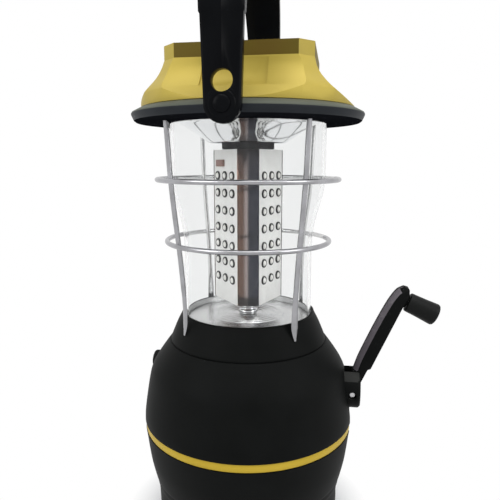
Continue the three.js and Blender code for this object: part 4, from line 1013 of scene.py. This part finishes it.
# %% [markdown]
# ## Crank
# The crank folds: its hub turns with the gear shaft, the arm swings on a steel pin across the hub, and the
# knob spins on a screw at the arm's end. Each of them is its own piece, so that the joints can move them.
# At rest the arm leans outwards by 24.5 degrees, so its outline is drawn along a leaning direction.

# %% Hub and pin
hub_face, pin_bore, slot_half = 67.6, 2.3, 4.8
hub = lathe("hub", [
    (0, 28), (4, 28), (4, hub_base), (hub_radius - 0.6, hub_base), (hub_radius, hub_base + 0.6),
    (hub_radius, hub_face - 1.4), (hub_radius - 0.3, hub_face - 0.8), (hub_radius - 1.2, hub_face),
    (0, hub_face),
], (0, 0, hub_height), ALONG_X, UPWARDS, 72)
cut(
    hub,
    block("slot", (hinge.x - 5, -slot_half, hub_height - 14), (hub_face + 2, slot_half, hub_height + 14)),
    rod_y("pin_hole", pin_bore, -14, 14, hinge.x, hinge.z),
)
ease(hub, 0.4, 2)
place(hub, "crank", "black_plastic", "matte_black", "crank_hub")
# The hub's faces that turn upwards get a lighter copy of the black, painted light from above
tint(hub, "hub_painted_top_light", lambda spot, normal: spot.x > hub_base and normal.z > 0.6)
pin_line = [(0, -9.9), (1.5, -9.9), (2, -9.4), (2, 9.4), (1.5, 9.9), (0, 9.9)]
pin = lathe("hinge_pin", pin_line, hinge, ALONG_Y, UPWARDS, 32)
ease(pin, 0.1)
place(pin, "crank", "steel", "steel", "crank_hinge_pin")

# %% Arm
lean = math.radians(24.5)
up_arm = Vector((math.sin(lean), 0, math.cos(lean)))
out_arm = Vector((math.cos(lean), 0, -math.sin(lean)))


def on_arm(out, up, y=0):
    """A point given along and across the leaning arm, from its hinge."""
    return tuple(hinge + out_arm * out + up_arm * up + Vector((0, y, 0)))


def at_knob(name, line, steps):
    """Spins a line of points round the knob's axis."""
    return lathe(name, line, on_arm(0, arm_length), out_arm, up_arm, steps)


arm_width, root, arm_chamfer, notch_top = 9, 4.5, 3, 15.9
arm_face, boss_end, bore_radius = 2.6, 4, 2
root_arc = [(root * math.cos(turn), -root * math.sin(turn)) for turn in (k * math.pi / 10 for k in range(11))]
arm_back = [(-root, 4), *curved([
    (-5.1, 10.5), (-5.8, 16), (-6.27, 22), (-6.6, 40), (-6.34, 53.4), (-5.74, 60.9), (-4.49, 66.3),
    (-1.98, 69.5),
], 3)]
side_view = [*root_arc, *arm_back, (1.3, 69.5), (arm_face, 66.9), (3.4, 17.1), (2.1, notch_top), (2.1, root)]
arm = slab("arm", [on_arm(out, up, -arm_width / 2) for out, up in side_view], (0, arm_width, 0))
back_corners = [Vector(on_arm(out, up)) * MM for out, up in arm_back[1:]]


def on_back(corner):
    """Whether a corner of the arm lies on the bowed back."""
    return any(math.hypot(corner.co.x - spot.x, corner.co.z - spot.z) < 0.01 * MM for spot in back_corners)


hold(arm)
bpy.ops.object.mode_set(mode="EDIT")
bpy.ops.mesh.select_mode(type="EDGE")
bpy.ops.mesh.select_all(action="DESELECT")
bpy.ops.object.mode_set(mode="OBJECT")
for edge in arm.data.edges:
    ends = [arm.data.vertices[k] for k in edge.vertices]
    edge.select = all(on_back(corner) for corner in ends) and abs(ends[0].co.y - ends[1].co.y) < 0.01 * MM
bpy.ops.object.mode_set(mode="EDIT")
bpy.ops.mesh.bevel(offset=arm_chamfer * MM, segments=1, affect="EDGES", clamp_overlap=False)
bpy.ops.mesh.select_mode(type="VERT")
close_mesh(arm)
join(arm, at_knob("boss", bar(3.8, 0, boss_end), 48))
cut(arm, rod_y("pin_hole", pin_bore, -12, 12, hinge.x, hinge.z))
cut(arm, at_knob("screw_hole", bar(bore_radius, -arm_face - slit, 9), 32))
ease(arm, 0.4, 2, 30)
place(arm, "arm", "black_plastic", "matte_black", "crank_arm")
# A painted sheen in pale grey on the arm's chamfered back edges
tint(arm, "arm_painted_sheen", lambda spot, normal: -normal.dot(out_arm) > 0.6 and abs(normal.y) > 0.45)

# %% Knob and screw
knob_start = boss_end + slit
knob_end = knob_start + knob_length
knob = at_knob("knob", [
    (0, knob_start), (5.2, knob_start), (5.55, knob_start + 0.4), (5.62, knob_start + 3),
    (5.85, knob_start + 9), (6.25, knob_end - 2.4), (6.3, knob_end - 1.2), (5.9, knob_end - 0.35),
    (5.3, knob_end), (0, knob_end),
], 64)
cut(knob, at_knob("bore", bar(bore_radius, -2, 30), 32))
cut(knob, at_knob("sink", bar(3.5, knob_end - 1.9, 30), 32))
ease(knob, 0.3, 2)
place(knob, "knob", "black_plastic", "knob_black", "crank_knob")
screw = at_knob("knob_fixing", [
    (0, -arm_face), (1.7, -arm_face), (1.7, knob_end - 1.6), (3.2, knob_end - 1.6), (3.2, knob_end - 0.7),
    (2.2, knob_end - 0.1), (0, knob_end),
], 32)
cross = knob_end - 0.7
for half_a, half_b in ((1.8, 0.35), (0.35, 1.8)):
    corners = [(-half_a, -half_b), (half_a, -half_b), (half_a, half_b), (-half_a, half_b)]
    cut(screw, slab("cross", [on_arm(cross, arm_length + up, y) for up, y in corners], out_arm * 2))
ease(screw, 0.1)
place(screw, "arm", "steel", "steel", "knob_screw")

# %% [markdown]
# ## Button, socket cover and base
# A rubber button sits in the wall on the far side from the crank, and a hinged rubber flap covers the
# charging socket at the back. The base has a cover, a battery door with a finger grip, and four soft feet.

# %% Button
button = lathe("button", [
    (0, -60.2), (2.5, -60.1), (4.6, -59.8), (5.5, -59.4), (6, -58.7), (6, -52.4), (7.6, -52.4), (7.6, -51),
    (0, -51),
], (0, 0, button_height), ALONG_X, UPWARDS, 48)
ease(button, 0.2)
place(button, "button", "rubber", "rubber", "power_button")

# %% Socket cover
low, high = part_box("dc_jack_cover")
(x0, y0, z0), (x1, y1, z1) = low / MM, high / MM
flap = block("socket_flap", (x0, y0, z0), (x1, y1 - 0.6, z1))
join(flap, block("flap_lip", (x0 + 2, y1 - 1, z1 - 2.2), (x1 - 2, y1, z1 - 0.6)))
ease(flap, 0.4, 2)
place(flap, "jack_flap", "rubber", "rubber", "dc_jack_cover")

# %% Base cover, door and feet
cover = lathe("base_plate", [(0, 1), (50.5, 1), (52, 2.2), (52, 5), (0, 5)], steps=96)
door_x, door_half_x, door_half_y = -14, 25, 29
ledge, foot_circle, screw_circle = 2.5, 46, 43
open_x, open_y = door_half_x - ledge, door_half_y - ledge
cut(cover, block("window", (door_x - open_x, -open_y, 0), (door_x + open_x, open_y, 7)))
cut(cover, block("ledge", (door_x - door_half_x, -door_half_y, 0), (door_x + door_half_x, door_half_y, 3.3)))
foot_places = [around(foot_circle, k * math.tau / 4) for k in range(4)]
for x, y in foot_places:
    cut(cover, lathe("foot_seat", bar(5.3, -1, 2.8), (x, y, 0), steps=32))
for k in range(4):
    x, y = around(screw_circle, (k + 0.5) * math.tau / 4)
    cut(cover, lathe("screw_well", bar(3, 0, 2.6), (x, y, 0), steps=24))
ease(cover, 0.25)
place(cover, "lantern", "black_plastic", "matte_black", "base_cover")
half_x, half_y = door_half_x - slit, door_half_y - slit
door = block("door", (door_x - half_x, -half_y, 1), (door_x + half_x, half_y, 3))
for k in range(5):
    y = 18 + 2 * k
    cut(door, block("rib", (door_x - 8, y, 0), (door_x + 8, y + 1, 1.5)))
ease(door, 0.2)
place(door, "lantern", "black_plastic", "matte_black", "battery_door")
for k, (x, y) in enumerate(foot_places):
    foot = lathe(f"foot_{k + 1}", [
        (0, 0), (4.2, 0), (4.8, 0.3), (5, 0.9), (5, 2.5), (0, 2.5),
    ], (x, y, 0), steps=32)
    ease(foot, 0.15)
    place(foot, "lantern", "rubber", "rubber", f"rubber_foot_{k + 1}")

# %% [markdown]
# ## What stays as the frame made it
# The gears, the dynamo, the batteries and the circuit board are inside the body, where only an open joint
# would show them. Their facets are right as they are, so they only get a finish.

# %% Finishes of the inner parts
inner_finishes = {
    "nylon": ["drive_gear", "idler_gear"],
    "steel": ["rotor_gear", "dynamo_housing"],
    "grey_rim": ["gearbox_frame", "battery_holder", "switch_module", "dc_jack"],
    "circuit_green": ["circuit_board"],
    "cell_wrap": ["battery_1", "battery_2", "battery_3"],
}
for name, members in inner_finishes.items():
    for member in members:
        coat(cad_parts[member], name)
print("inner parts", sum(len(members) for members in inner_finishes.values()))
